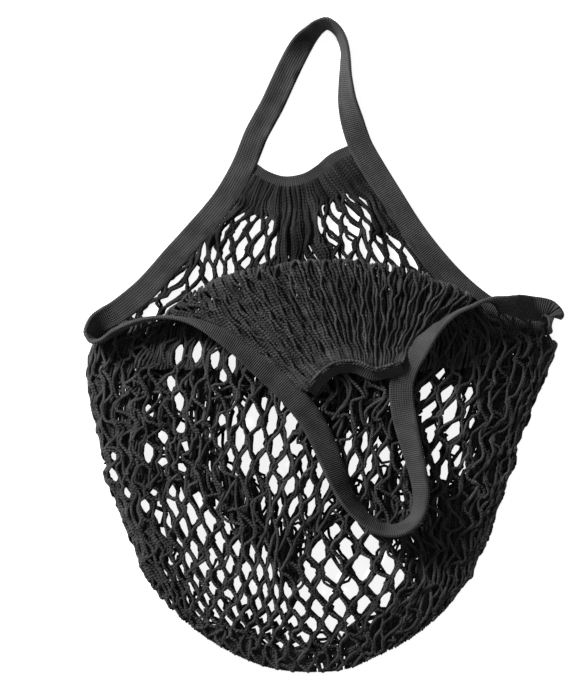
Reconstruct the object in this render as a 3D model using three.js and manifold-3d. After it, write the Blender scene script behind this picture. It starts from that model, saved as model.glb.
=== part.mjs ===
// String shopping bag of black cotton net, lying on its back with the front panel folded forward.
// Millimetres. +X runs across the bag, +Y from its bottom to the top of the back handle, +Z is up.

import * as THREE from "three";
import { mergeVertices } from "three/addons/utils/BufferGeometryUtils.js";
import Module from "manifold-3d";

const wasm = await Module();
wasm.setup();

// Driving dimensions.
const HALF_WIDTH = 190; // middle line to a corner of the mouth
const BODY_LENGTH = 264; // corners of the mouth to the bottom of the net
const PANEL_RISE = 144; // corners of the mouth to the root of the back handle
const HANDLE_RISE = 120; // root to top of the back handle
const TAPE_WIDTH = 20;
const TAPE_THICKNESS = 2.8;
const GATHER_WIDTH = 10.5;
const GATHER_THICKNESS = 2.4;
const NET_WALL = 2.4; // one knitted strand
const BAR_WIDTH = 7; // one coarse bar stands for a bundle of strands
const LOFT = 22; // room between the layers in the middle of the mouth
const LOFT_SHOULDER = 2.6; // power that keeps the loft full across the bag, then drops it at the sides
const LOFT_RUN = 0.7; // power by which the loft fades from the mouth down to the bottom
const FOLD_RADIUS = 3.5; // bend of the front panel where it folds forward
const YOKE_DEPTH = 36; // closely gathered net below the back gather band
const YOKE_FAN = { first: 218, last: 318 }; // compass angles of the yoke's outer pleats
const PLEAT_DEPTH = 2.2;
const BEND_SHARE = 0.3; // part of the flap's mesh that goes round its fold
const RIBBON_BEVEL = 0.8; // of a ribbon's half thickness, in from its edge
const RIBBON_SHOULDER = 0.35; // of a ribbon's half thickness, where its edge is upright

// Clearances and counts.
const SEAT = 0.3; // between two pieces that meet
const LAYER_GAP = 0.6; // between two layers that lie on each other
const SLIVER = 0.01; // faces narrower than this are closed up after a cut
const TUCK = 2; // how far a hem runs under the tape before the tape's room is cut from it
const BACK_COLUMNS = 14;
const BACK_ROWS = 10;
const FRONT_COLUMNS = 14;
const FRONT_ROWS = 8;
const YOKE_PLEATS = 9;
const YOKE_ROWS = 4;
const FLAP_PLEATS = 11;
const FLAP_ROWS = 10;
const COLUMNS_PER_PLEAT = 3;
const SMALLEST_GAP = 0.2; // of a mesh, where its bars nearly close it
const GAP_WALL = 0.6; // thickness of a bar at the gap, as a share of the strand's
const STEPS_PER_ROW = 2;
const SETTLE_PASSES = 16; // rounds in which the tape's tilt and its height settle on each other

// Cotton, as shades of grey and roughness.
const TAPE_COTTON = { lightness: 0.042, roughness: 0.9 };
const NET_COTTON = { lightness: 0.036, roughness: 0.92 };

// Height of the middle of the front layer where it lies flat on the back one.
const FRONT_REST = 1.5 * NET_WALL + LAYER_GAP;

// What a stretch of tape lies on, as its share of the height of the front layer.
const FLOOR = 0;
const FRONT = 1;

// Which piece hangs on a stretch of tape.
const BACK_LEFT = "back left";
const BACK_RIGHT = "back right";
const FRONT_LEFT = "front left";
const FRONT_RIGHT = "front right";
const FLAP_LEFT = "flap left";
const FLAP_RIGHT = "flap right";
const HANDLE = "handle";

// The rim tape's centre line, once round the mouth. u is a share of HALF_WIDTH. v is a share of
// BODY_LENGTH below 0, of PANEL_RISE from 0 to 1 and of HANDLE_RISE from 1 to 2. az and el aim
// the tape's free edge: az is its compass angle from +X towards +Y, el its tilt above the floor.
const TAPE_ROWS = [
  { u: -0.98, v: 0.045, az: 185, el: 66, on: 0.5, hem: HANDLE },
  { u: -0.955, v: 0.115, az: 155, el: 36, on: FLOOR, hem: HANDLE },
  { u: -0.88, v: 0.175, az: 140, el: 10, on: FLOOR, hem: BACK_LEFT },
  { u: -0.752, v: 0.311, az: 135, el: 0, on: FLOOR, hem: BACK_LEFT },
  { u: -0.639, v: 0.478, az: 135, el: 0, on: FLOOR, hem: BACK_LEFT },
  { u: -0.525, v: 0.644, az: 136, el: 0, on: FLOOR, hem: BACK_LEFT },
  { u: -0.42, v: 0.811, az: 141, el: 0, on: FLOOR, hem: BACK_LEFT },
  { u: -0.336, v: 1.007, az: 155, el: 0, on: FLOOR, hem: HANDLE },
  { u: -0.286, v: 1.205, az: 157, el: 0, on: FLOOR, hem: HANDLE },
  { u: -0.218, v: 1.404, az: 156, el: 2, on: FLOOR, hem: HANDLE },
  { u: -0.16, v: 1.603, az: 153, el: 6, on: FLOOR, hem: HANDLE },
  { u: -0.1, v: 1.785, az: 147, el: 20, on: FLOOR, hem: HANDLE },
  { u: -0.052, v: 1.878, az: 130, el: 42, on: FLOOR, hem: HANDLE },
  { u: 0.01, v: 1.94, az: 95, el: 58, on: FLOOR, hem: HANDLE },
  { u: 0.062, v: 1.88, az: 40, el: 66, on: FLOOR, hem: HANDLE },
  { u: 0.088, v: 1.76, az: 8, el: 68, on: FLOOR, hem: HANDLE },
  { u: 0.09, v: 1.61, az: 0, el: 64, on: FLOOR, hem: HANDLE },
  { u: 0.097, v: 1.44, az: 5, el: 45, on: FLOOR, hem: HANDLE },
  { u: 0.12, v: 1.29, az: 14, el: 20, on: FLOOR, hem: HANDLE },
  { u: 0.155, v: 1.13, az: 22, el: 3, on: FLOOR, hem: HANDLE },
  { u: 0.205, v: 0.99, az: 32, el: 0, on: FLOOR, hem: BACK_RIGHT },
  { u: 0.286, v: 0.817, az: 37, el: 0, on: FLOOR, hem: BACK_RIGHT },
  { u: 0.366, v: 0.65, az: 38, el: 0, on: FLOOR, hem: BACK_RIGHT },
  { u: 0.462, v: 0.483, az: 40, el: 0, on: FLOOR, hem: BACK_RIGHT },
  { u: 0.58, v: 0.317, az: 46, el: 0, on: FLOOR, hem: BACK_RIGHT },
  { u: 0.72, v: 0.18, az: 56, el: 0, on: FLOOR, hem: BACK_RIGHT },
  { u: 0.86, v: 0.115, az: 70, el: 0, on: FLOOR, hem: BACK_RIGHT },
  { u: 0.94, v: 0.12, az: 78, el: 0, on: FLOOR, hem: HANDLE },
  { u: 0.962, v: 0.15, az: 80, el: 0, on: 0.5, hem: HANDLE },
  { u: 0.94, v: 0.185, az: 84, el: 0, on: FRONT, hem: HANDLE },
  { u: 0.88, v: 0.2, az: 90, el: 0, on: FRONT, hem: FRONT_RIGHT },
  { u: 0.795, v: 0.218, az: 96, el: 34, on: FRONT, hem: FRONT_RIGHT },
  { u: 0.731, v: 0.245, az: 100, el: 74, on: FRONT, hem: FRONT_RIGHT },
  { u: 0.676, v: 0.244, az: 110, el: 88, on: FRONT, hem: FRONT_RIGHT },
  { u: 0.613, v: 0.211, az: 300, el: 88, on: FRONT, hem: FLAP_RIGHT },
  { u: 0.555, v: 0.178, az: 310, el: 86, on: FRONT, hem: FLAP_RIGHT },
  { u: 0.496, v: 0.122, az: 315, el: 80, on: FRONT, hem: FLAP_RIGHT },
  { u: 0.44, v: 0.055, az: 318, el: 56, on: FRONT, hem: FLAP_RIGHT },
  { u: 0.392, v: -0.012, az: 325, el: 32, on: FRONT, hem: FLAP_RIGHT },
  { u: 0.345, v: -0.065, az: 338, el: 8, on: FRONT, hem: HANDLE },
  { u: 0.322, v: -0.127, az: 352, el: 0, on: FRONT, hem: HANDLE },
  { u: 0.33, v: -0.2, az: 6, el: 10, on: FRONT, hem: HANDLE },
  { u: 0.357, v: -0.288, az: 8, el: 34, on: FRONT, hem: HANDLE },
  { u: 0.387, v: -0.373, az: 4, el: 46, on: FRONT, hem: HANDLE },
  { u: 0.404, v: -0.455, az: 350, el: 54, on: FRONT, hem: HANDLE },
  { u: 0.38, v: -0.525, az: 315, el: 62, on: FRONT, hem: HANDLE },
  { u: 0.298, v: -0.56, az: 270, el: 66, on: FRONT, hem: HANDLE },
  { u: 0.214, v: -0.545, az: 240, el: 62, on: FRONT, hem: HANDLE },
  { u: 0.14, v: -0.503, az: 225, el: 56, on: FRONT, hem: HANDLE },
  { u: 0.08, v: -0.44, az: 214, el: 46, on: FRONT, hem: HANDLE },
  { u: 0.036, v: -0.364, az: 208, el: 26, on: FRONT, hem: HANDLE },
  { u: -0.008, v: -0.288, az: 208, el: 6, on: FRONT, hem: HANDLE },
  { u: -0.06, v: -0.221, az: 216, el: 0, on: FRONT, hem: HANDLE },
  { u: -0.13, v: -0.156, az: 222, el: 0, on: FRONT, hem: FLAP_LEFT },
  { u: -0.206, v: -0.1, az: 226, el: 4, on: FRONT, hem: FLAP_LEFT },
  { u: -0.282, v: -0.05, az: 232, el: 14, on: FRONT, hem: FLAP_LEFT },
  { u: -0.353, v: -0.005, az: 238, el: 30, on: FRONT, hem: FLAP_LEFT },
  { u: -0.437, v: 0.062, az: 242, el: 50, on: FRONT, hem: FLAP_LEFT },
  { u: -0.508, v: 0.11, az: 248, el: 68, on: FRONT, hem: FLAP_LEFT },
  { u: -0.576, v: 0.138, az: 256, el: 82, on: FRONT, hem: FLAP_LEFT },
  { u: -0.647, v: 0.148, az: 90, el: 88, on: FRONT, hem: FRONT_LEFT },
  { u: -0.731, v: 0.142, az: 100, el: 87, on: FRONT, hem: FRONT_LEFT },
  { u: -0.811, v: 0.113, az: 110, el: 86, on: FRONT, hem: FRONT_LEFT },
  { u: -0.882, v: 0.068, az: 120, el: 85, on: FRONT, hem: FRONT_LEFT },
  { u: -0.945, v: 0.018, az: 195, el: 82, on: FRONT, hem: HANDLE },
];

// The back gather band's centre line, from the left leg of its handle to the right one.
const BACK_GATHER_ROWS = [
  { u: -0.305, v: 0.985 },
  { u: -0.244, v: 0.935 },
  { u: -0.168, v: 0.905 },
  { u: -0.08, v: 0.922 },
  { u: -0.017, v: 0.97 },
  { u: 0.04, v: 1.04 },
  { u: 0.12, v: 1.1 },
];

// The front gather band's centre line, from the left leg of its handle to the right one.
const FRONT_GATHER_ROWS = [
  { u: -0.055, v: -0.145 },
  { u: 0.0, v: -0.098 },
  { u: 0.055, v: -0.073 },
  { u: 0.13, v: -0.071 },
  { u: 0.205, v: -0.092 },
  { u: 0.262, v: -0.085 },
  { u: 0.325, v: -0.07 },
];

// The outline of the net below the mouth: its left and right edge at each level.
const OUTLINE_ROWS = [
  { v: 0.0, left: -0.975, right: 0.985 },
  { v: -0.076, left: -0.994, right: 0.948 },
  { v: -0.167, left: -0.982, right: 0.892 },
  { v: -0.258, left: -0.954, right: 0.832 },
  { v: -0.348, left: -0.921, right: 0.788 },
  { v: -0.439, left: -0.89, right: 0.75 },
  { v: -0.53, left: -0.84, right: 0.708 },
  { v: -0.621, left: -0.786, right: 0.657 },
  { v: -0.712, left: -0.728, right: 0.59 },
  { v: -0.803, left: -0.626, right: 0.492 },
  { v: -0.894, left: -0.479, right: 0.345 },
  { v: -0.95, left: -0.345, right: 0.205 },
  { v: -0.988, left: -0.185, right: 0.08 },
];
const LAST_SIDE_ROW = 8; // the rows above this one are the sides, those below it the bottom

// The line along which the front panel folds forward, from left to right.
const FOLD_ROWS = [
  { u: -0.66, v: 0.17 },
  { u: -0.584, v: 0.285 },
  { u: -0.45, v: 0.35 },
  { u: -0.311, v: 0.39 },
  { u: -0.101, v: 0.428 },
  { u: 0.109, v: 0.428 },
  { u: 0.319, v: 0.405 },
  { u: 0.487, v: 0.33 },
  { u: 0.62, v: 0.25 },
];

const UP = new THREE.Vector3(0, 0, 1);
const DOWN = new THREE.Vector3(0, 0, -1);
const { clamp, degToRad, lerp, smoothstep } = THREE.MathUtils;

// Shares to millimetres on the floor plan.
function place({ u, v }) {
  const x = u * HALF_WIDTH;
  if (v < 0) return new THREE.Vector3(x, v * BODY_LENGTH, 0);
  if (v < 1) return new THREE.Vector3(x, v * PANEL_RISE, 0);
  return new THREE.Vector3(x, PANEL_RISE + (v - 1) * HANDLE_RISE, 0);
}

// The left and right edge of the net at a level, in shares of HALF_WIDTH.
function outlineAt(v) {
  const below = OUTLINE_ROWS.findIndex((row) => row.v <= v);
  if (below === 0) return OUTLINE_ROWS[0];
  if (below < 0) return OUTLINE_ROWS.at(-1);
  const [above, under] = [OUTLINE_ROWS[below - 1], OUTLINE_ROWS[below]];
  const share = (v - above.v) / (under.v - above.v);
  return { left: lerp(above.left, under.left, share), right: lerp(above.right, under.right, share) };
}

// Height of the middle of the front layer above the floor: flat on the back layer round the
// outline, and highest in the middle of the mouth.
function frontHeight(x, y) {
  const v = y < 0 ? y / BODY_LENGTH : y / PANEL_RISE;
  const { left, right } = outlineAt(v);
  const across = clamp((2 * x / HALF_WIDTH - left - right) / (right - left), -1, 1);
  const along = clamp(v + 1, 0, 1) ** LOFT_RUN;
  return FRONT_REST + LOFT * (1 - Math.abs(across) ** LOFT_SHOULDER) * along;
}

// Where a piece that lies on the front layer touches down.
function frontTop(x, y) {
  return frontHeight(x, y) + NET_WALL / 2 + LAYER_GAP;
}

function curveThrough(points, closed = false) {
  return new THREE.CatmullRomCurve3(points, closed, "centripetal");
}

// Stations of the tape: centre, tangent, direction to the free edge and face normal.
function tapeStations() {
  const rows = TAPE_ROWS.length;
  const plan = curveThrough(TAPE_ROWS.map((row) => place(row).setZ(row.on)), true);
  const aim = curveThrough(TAPE_ROWS.map(({ az, el }) => new THREE.Vector3(
    Math.cos(degToRad(az)) * Math.cos(degToRad(el)),
    Math.sin(degToRad(az)) * Math.cos(degToRad(el)),
    Math.sin(degToRad(el)),
  )), true);
  const stations = [];
  for (let k = 0; k < rows * STEPS_PER_ROW; k++) {
    const share = k / (rows * STEPS_PER_ROW);
    const centre = plan.getPoint(share);
    const side = aim.getPoint(share).normalize();
    const rest = clamp(centre.z, FLOOR, FRONT) * frontTop(centre.x, centre.y);
    stations.push({ centre, side, rest, hem: TAPE_ROWS[Math.floor(k / STEPS_PER_ROW)].hem });
  }
  let framed = withFrames(stations, true);
  for (let pass = 0; pass < SETTLE_PASSES; pass++) {
    for (const { centre, side, normal, rest } of framed) {
      const halfHeight = (Math.abs(side.z) * TAPE_WIDTH + Math.abs(normal.z) * TAPE_THICKNESS) / 2;
      centre.z = (centre.z + rest + halfHeight) / 2;
    }
    framed = withFrames(stations, true);
  }
  return framed;
}

// Stations of a gather band lying flat, its free edge to the left of its run or to the right.
function gatherStations(rows, restHeight, freeSide) {
  const plan = curveThrough(rows.map(place));
  const count = (rows.length - 1) * STEPS_PER_ROW;
  const stations = [];
  for (let k = 0; k <= count; k++) {
    const centre = plan.getPoint(k / count);
    const run = plan.getTangent(k / count);
    centre.z = restHeight(centre.x, centre.y) + GATHER_THICKNESS / 2;
    stations.push({ centre, side: new THREE.Vector3(-run.y, run.x, 0).multiplyScalar(freeSide) });
  }
  return withFrames(stations, false);
}

// Adds each station's tangent and squares its side direction and normal to it.
function withFrames(stations, closed) {
  const count = stations.length;
  return stations.map((station, k) => {
    const before = stations[closed ? (k + count - 1) % count : Math.max(k - 1, 0)].centre;
    const after = stations[closed ? (k + 1) % count : Math.min(k + 1, count - 1)].centre;
    const run = after.clone().sub(before).normalize();
    const side = station.side.clone().addScaledVector(run, -station.side.dot(run)).normalize();
    return { ...station, side, normal: run.clone().cross(side) };
  });
}

// Collects triangles and makes solids and geometries of them.
class Faces {
  constructor() {
    this.positions = [];
  }

  triangle(...corners) {
    for (const corner of corners) this.positions.push(corner.x, corner.y, corner.z);
  }

  quad(a, b, c, d) {
    this.triangle(a, b, c);
    this.triangle(a, c, d);
  }

  solid() {
    const loose = new THREE.BufferGeometry();
    loose.setAttribute("position", new THREE.Float32BufferAttribute(this.positions, 3));
    const merged = mergeVertices(loose);
    return new wasm.Manifold(new wasm.Mesh({
      numProp: 3,
      vertProperties: Float32Array.from(merged.attributes.position.array),
      triVerts: Uint32Array.from(merged.index.array),
    }));
  }
}

// A flat ribbon with bevelled edges along the stations, grown all round by a clearance.
function ribbonSolid(stations, width, thickness, closed, grow = 0) {
  const half = width / 2 + grow;
  const deep = thickness / 2 + grow;
  const bevel = RIBBON_BEVEL * deep;
  const shoulder = RIBBON_SHOULDER * deep;
  const section = [
    [-half, -shoulder], [bevel - half, -deep], [half - bevel, -deep], [half, -shoulder],
    [half, shoulder], [half - bevel, deep], [bevel - half, deep], [-half, shoulder],
  ];
  const rings = stations.map(({ centre, side, normal }) => section.map(
    ([across, through]) => centre.clone().addScaledVector(side, across).addScaledVector(normal, through),
  ));
  const faces = new Faces();
  const corners = section.length;
  const spans = closed ? rings.length : rings.length - 1;
  for (let i = 0; i < spans; i++) {
    const [here, next] = [rings[i], rings[(i + 1) % rings.length]];
    for (let k = 0; k < corners; k++) {
      const j = (k + 1) % corners;
      faces.quad(here[k], here[j], next[j], next[k]);
    }
  }
  if (!closed) {
    const [first, last] = [rings[0], rings.at(-1)];
    for (let k = 1; k < corners - 1; k++) {
      faces.triangle(first[0], first[k + 1], first[k]);
      faces.triangle(last[0], last[k], last[k + 1]);
    }
  }
  return faces.solid();
}

// The two skins of a sheet: the surface's point moved half a wall along its normal, to each side.
// The normal is the one that s and t turn round counter-clockwise.
function skins(surface, wall) {
  return (s, t, share = 1) => {
    const { point, normal } = surface(s, t);
    const half = (share * wall) / 2;
    return { top: point.clone().addScaledVector(normal, half), bottom: point.addScaledVector(normal, -half) };
  };
}

// Joins the two skins along an edge of a sheet. The material is on the left of a to b.
function rimFaces(faces, a, b) {
  faces.quad(a.top, a.bottom, b.bottom, b.top);
}

// A closed sheet.
function sheetSolid(surface, columns, rows, wall) {
  const skin = skins(surface, wall);
  const at = (i, j) => skin(i / columns, j / rows);
  const faces = new Faces();
  for (let i = 0; i < columns; i++) {
    for (let j = 0; j < rows; j++) {
      const [a, b, c, d] = [at(i, j), at(i + 1, j), at(i + 1, j + 1), at(i, j + 1)];
      faces.quad(a.top, b.top, c.top, d.top);
      faces.quad(d.bottom, c.bottom, b.bottom, a.bottom);
      if (j === 0) rimFaces(faces, a, b);
      if (i === columns - 1) rimFaces(faces, b, c);
      if (j === rows - 1) rimFaces(faces, c, d);
      if (i === 0) rimFaces(faces, d, a);
    }
  }
  return faces.solid();
}

// The knots round one mesh of the net, counter-clockwise from its left one.
const MESH_RING = [[-1, 0], [0, -1], [1, 0], [0, 1]];

// A net of diamond meshes. Knots sit where column plus row is even, and each odd place is the
// middle of a mesh, which is cut through where isOpen allows and bars leave room.
function netSolid(surface, columns, rows, wall, bar, isOpen) {
  const skin = skins(surface, wall);
  const at = (i, j, share) => skin(i / columns, j / rows, share);
  const within = ([di, dj], i, j) => i + di >= 0 && i + di <= columns && j + dj >= 0 && j + dj <= rows;
  const faces = new Faces();
  for (let i = 0; i <= columns; i++) {
    for (let j = (i + 1) % 2; j <= rows; j += 2) {
      const whole = MESH_RING.every((step) => within(step, i, j));
      if (whole && isOpen(surface(i / columns, j / rows).point)) openMesh(faces, at, i, j, bar);
      else closedMesh(faces, at, i, j, MESH_RING.map((step) => within(step, i, j)));
    }
  }
  return faces.solid();
}

// One mesh cut through, its bars rounded down towards the gap.
function openMesh(faces, at, i, j, bar) {
  const knots = MESH_RING.map(([di, dj]) => at(i + di, j + dj));
  const wide = knots[0].top.distanceTo(knots[2].top);
  const tall = knots[1].top.distanceTo(knots[3].top);
  const inradius = (wide * tall) / (2 * Math.hypot(wide, tall));
  const gap = Math.max(1 - bar / 2 / inradius, SMALLEST_GAP);
  const inner = MESH_RING.map(([di, dj]) => at(i + gap * di, j + gap * dj, GAP_WALL));
  for (let k = 0; k < MESH_RING.length; k++) {
    const next = (k + 1) % MESH_RING.length;
    faces.quad(knots[k].top, knots[next].top, inner[next].top, inner[k].top);
    faces.quad(inner[k].bottom, inner[next].bottom, knots[next].bottom, knots[k].bottom);
    rimFaces(faces, inner[next], inner[k]);
  }
}

// One mesh left closed, whole or halved by the border of the net.
function closedMesh(faces, at, i, j, kept) {
  const middle = at(i, j);
  const count = MESH_RING.length;
  for (let k = 0; k < count; k++) {
    const next = (k + 1) % count;
    if (!kept[k] || !kept[next]) continue;
    const a = at(i + MESH_RING[k][0], j + MESH_RING[k][1]);
    const b = at(i + MESH_RING[next][0], j + MESH_RING[next][1]);
    faces.triangle(middle.top, a.top, b.top);
    faces.triangle(middle.bottom, b.bottom, a.bottom);
    if (!kept[(k + count - 1) % count]) rimFaces(faces, middle, a);
    if (!kept[(next + 1) % count]) rimFaces(faces, b, middle);
  }
}

// A surface patch stretched between four edge curves, given as functions of a share.
function stretched(bottom, top, left, right) {
  const corners = [bottom(0), bottom(1), top(0), top(1)];
  return (s, t) => {
    const point = bottom(s).multiplyScalar(1 - t);
    point.addScaledVector(top(s), t);
    point.addScaledVector(left(t), 1 - s);
    point.addScaledVector(right(t), s);
    point.addScaledVector(corners[0], -(1 - s) * (1 - t));
    point.addScaledVector(corners[1], -s * (1 - t));
    point.addScaledVector(corners[2], -(1 - s) * t);
    point.addScaledVector(corners[3], -s * t);
    return point;
  };
}

// The edge of a ribbon that net hangs on, moved a little under the ribbon, on the floor plan.
function hemPoints(stations, width, hem) {
  return stations
    .filter((station) => hem === undefined || station.hem === hem)
    .map(({ centre, side }) => centre.clone().addScaledVector(side, TUCK - width / 2).setZ(0));
}

// The floor plan of one layer of the net, from the bottom seam up to the points of its hem.
function layerPlan(hem) {
  const sides = OUTLINE_ROWS.slice(0, LAST_SIDE_ROW + 1).reverse();
  const low = OUTLINE_ROWS.slice(LAST_SIDE_ROW);
  const leftOf = ({ v, left }) => place({ u: left, v });
  const rightOf = ({ v, right }) => place({ u: right, v });
  const seam = curveThrough([...low.map(leftOf), ...low.map(rightOf).reverse()]);
  const left = curveThrough(sides.map(leftOf));
  const right = curveThrough(sides.map(rightOf));
  const top = curveThrough([leftOf(OUTLINE_ROWS[0]), ...hem, rightOf(OUTLINE_ROWS[0])]);
  return stretched(
    (s) => seam.getPointAt(s),
    (s) => top.getPointAt(s),
    (t) => left.getPointAt(t),
    (t) => right.getPointAt(t),
  );
}

// How far a pleat stands up at a place across the folds: none at either end of its run.
function pleat(pleats, across, along) {
  const ridge = 0.5 - 0.5 * Math.cos(2 * Math.PI * pleats * across);
  return PLEAT_DEPTH * ridge * Math.sqrt(Math.sin(Math.PI * clamp(along, 0, 1)));
}

// The closely gathered net that fans out below the back gather band.
function yokeSurface(bandHem) {
  const band = curveThrough(bandHem);
  return (s, t) => {
    const angle = degToRad(lerp(YOKE_FAN.first, YOKE_FAN.last, s));
    const fan = new THREE.Vector3(Math.cos(angle), Math.sin(angle), 0);
    const point = band.getPointAt(s).addScaledVector(fan, t * YOKE_DEPTH);
    point.z = NET_WALL / 2 + pleat(YOKE_PLEATS, s, t);
    return { point, normal: DOWN };
  };
}

// The front panel past its fold: round the bend, then forward and down to the tape.
function flapSurface(fold, hem) {
  return (s, t) => {
    const root = fold.getPointAt(s);
    const run = fold.getTangentAt(s);
    const outward = new THREE.Vector3(-run.y, run.x, 0);
    const level = frontHeight(root.x, root.y);
    if (t < BEND_SHARE) {
      const turn = (Math.PI * t) / BEND_SHARE;
      const point = root.addScaledVector(outward, FOLD_RADIUS * Math.sin(turn));
      point.z = level + FOLD_RADIUS * (1 - Math.cos(turn));
      const normal = outward.multiplyScalar(-Math.sin(turn)).setZ(Math.cos(turn));
      return { point, normal };
    }
    const along = (t - BEND_SHARE) / (1 - BEND_SHARE);
    const point = root.lerp(hem.getPointAt(s), along);
    const above = lerp(2 * FOLD_RADIUS, NET_WALL + LAYER_GAP, smoothstep(along, 0, 1));
    point.z = frontHeight(point.x, point.y) + above + pleat(FLAP_PLEATS, s, along);
    return { point, normal: DOWN };
  };
}

// The largest body of a solid, without crumbs that a cut left loose and with slivers closed up.
function largestBody(solid) {
  const bodies = solid.simplify(SLIVER).decompose();
  return bodies.reduce((best, body) => (body.volume() > best.volume() ? body : best));
}

function geometryOf(solid) {
  const { vertProperties, triVerts } = solid.getMesh();
  const geometry = new THREE.BufferGeometry();
  geometry.setAttribute("position", new THREE.BufferAttribute(Float32Array.from(vertProperties), 3));
  geometry.setIndex(new THREE.BufferAttribute(Uint32Array.from(triVerts), 1));
  geometry.computeVertexNormals();
  return geometry;
}

function cottonMaterial({ lightness, roughness }) {
  const color = new THREE.Color(lightness, lightness, lightness);
  return new THREE.MeshStandardMaterial({ color, roughness, metalness: 0 });
}

function pieceMesh(name, solid, material) {
  const mesh = new THREE.Mesh(geometryOf(solid), material);
  mesh.name = name;
  return mesh;
}

// Tape and gather bands, each with the room that it takes out of what meets it.
const tape = tapeStations();
const tapeSolid = ribbonSolid(tape, TAPE_WIDTH, TAPE_THICKNESS, true);
const tapeRoom = ribbonSolid(tape, TAPE_WIDTH, TAPE_THICKNESS, true, SEAT).add(tapeSolid);

function gatherBand(stations) {
  const whole = ribbonSolid(stations, GATHER_WIDTH, GATHER_THICKNESS, false);
  const room = ribbonSolid(stations, GATHER_WIDTH, GATHER_THICKNESS, false, SEAT).add(whole);
  return { solid: largestBody(whole.subtract(tapeRoom)), room };
}

const backGather = gatherStations(BACK_GATHER_ROWS, () => 0, 1);
const frontGather = gatherStations(FRONT_GATHER_ROWS, frontTop, -1);
const backBand = gatherBand(backGather);
const frontBand = gatherBand(frontGather);
const backBandHem = hemPoints(backGather, GATHER_WIDTH);
const frontBandHem = hemPoints(frontGather, GATHER_WIDTH);

// The back layer: an open net lying on the floor, and its gathered yoke.
function backNet() {
  const plan = layerPlan([
    ...hemPoints(tape, TAPE_WIDTH, BACK_LEFT),
    ...backBandHem,
    ...hemPoints(tape, TAPE_WIDTH, BACK_RIGHT),
  ]);
  const surface = (s, t) => ({ point: plan(s, t).setZ(NET_WALL / 2), normal: UP });
  const clearOfYoke = (point) => backBandHem.every((hem) => point.distanceTo(hem) > YOKE_DEPTH);
  return netSolid(surface, BACK_COLUMNS, BACK_ROWS, NET_WALL, BAR_WIDTH, clearOfYoke)
    .add(sheetSolid(yokeSurface(backBandHem), COLUMNS_PER_PLEAT * YOKE_PLEATS, YOKE_ROWS, NET_WALL))
    .subtract(backBand.room)
    .subtract(tapeRoom);
}

// The front layer: an open net arched over the back one, and the panel folded forward on it.
function frontNet() {
  const fold = FOLD_ROWS.map(place);
  const rimLeft = hemPoints(tape, TAPE_WIDTH, FRONT_LEFT).reverse();
  const rimRight = hemPoints(tape, TAPE_WIDTH, FRONT_RIGHT).reverse();
  const plan = layerPlan([...rimLeft, ...fold, ...rimRight]);
  const surface = (s, t) => {
    const point = plan(s, t);
    return { point: point.setZ(frontHeight(point.x, point.y)), normal: UP };
  };
  const hem = [
    ...hemPoints(tape, TAPE_WIDTH, FLAP_LEFT).reverse(),
    ...frontBandHem,
    ...hemPoints(tape, TAPE_WIDTH, FLAP_RIGHT).reverse(),
  ];
  const flap = flapSurface(curveThrough(fold), curveThrough(hem));
  return netSolid(surface, FRONT_COLUMNS, FRONT_ROWS, NET_WALL, BAR_WIDTH, () => true)
    .add(sheetSolid(flap, COLUMNS_PER_PLEAT * FLAP_PLEATS, FLAP_ROWS, NET_WALL))
    .subtract(frontBand.room)
    .subtract(tapeRoom);
}

const tapeCotton = cottonMaterial(TAPE_COTTON);
const netCotton = cottonMaterial(NET_COTTON);

const bag = new THREE.Group();
bag.name = "string_shopping_bag";
bag.add(pieceMesh("rim_tape", tapeSolid, tapeCotton));
bag.add(pieceMesh("back_gather_band", backBand.solid, tapeCotton.clone()));
bag.add(pieceMesh("front_gather_band", frontBand.solid, tapeCotton.clone()));
bag.add(pieceMesh("back_net", largestBody(backNet()), netCotton));
bag.add(pieceMesh("front_net", largestBody(frontNet()), netCotton.clone()));

// The origin is under the middle of the bag's box, on the floor.
const box = new THREE.Box3().setFromObject(bag);
const middle = box.getCenter(new THREE.Vector3());
bag.position.set(-middle.x, -middle.y, -box.min.z);

export default bag;
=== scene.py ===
"""Looks of the string shopping bag: knitted rim tape, gather bands and a net of cotton strands.

Shapes are worked out in millimetres in the part's own plan and written to meshes in metres.
"""

import logging
import math
from dataclasses import dataclass, field
from enum import Enum

import bmesh
import bpy
import numpy as np
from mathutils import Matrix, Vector

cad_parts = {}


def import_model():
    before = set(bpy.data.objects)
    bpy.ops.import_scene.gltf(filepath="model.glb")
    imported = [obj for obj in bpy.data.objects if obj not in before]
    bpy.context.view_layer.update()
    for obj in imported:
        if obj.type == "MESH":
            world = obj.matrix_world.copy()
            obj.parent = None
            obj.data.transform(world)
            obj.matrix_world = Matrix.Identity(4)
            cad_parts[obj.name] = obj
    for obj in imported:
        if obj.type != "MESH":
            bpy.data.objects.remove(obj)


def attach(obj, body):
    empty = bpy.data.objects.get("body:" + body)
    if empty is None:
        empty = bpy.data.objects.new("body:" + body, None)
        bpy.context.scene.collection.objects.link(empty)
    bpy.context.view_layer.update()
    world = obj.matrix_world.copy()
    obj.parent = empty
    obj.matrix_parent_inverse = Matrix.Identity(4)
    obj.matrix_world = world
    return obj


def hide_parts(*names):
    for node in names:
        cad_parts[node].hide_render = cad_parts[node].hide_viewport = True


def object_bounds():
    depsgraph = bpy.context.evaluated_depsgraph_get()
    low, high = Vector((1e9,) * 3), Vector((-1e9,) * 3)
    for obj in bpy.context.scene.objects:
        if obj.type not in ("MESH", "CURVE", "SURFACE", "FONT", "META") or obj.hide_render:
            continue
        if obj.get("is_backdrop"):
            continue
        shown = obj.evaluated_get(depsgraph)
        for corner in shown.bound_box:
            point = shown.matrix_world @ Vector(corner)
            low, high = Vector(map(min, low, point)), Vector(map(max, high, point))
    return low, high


LOG = logging.getLogger("string_shopping_bag")
METRES = 0.001
PLAN_SHIFT = np.array([1.605, 0.004, 0.0])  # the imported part's box is centred on the origin
SEED = 4

Array = np.ndarray


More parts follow.
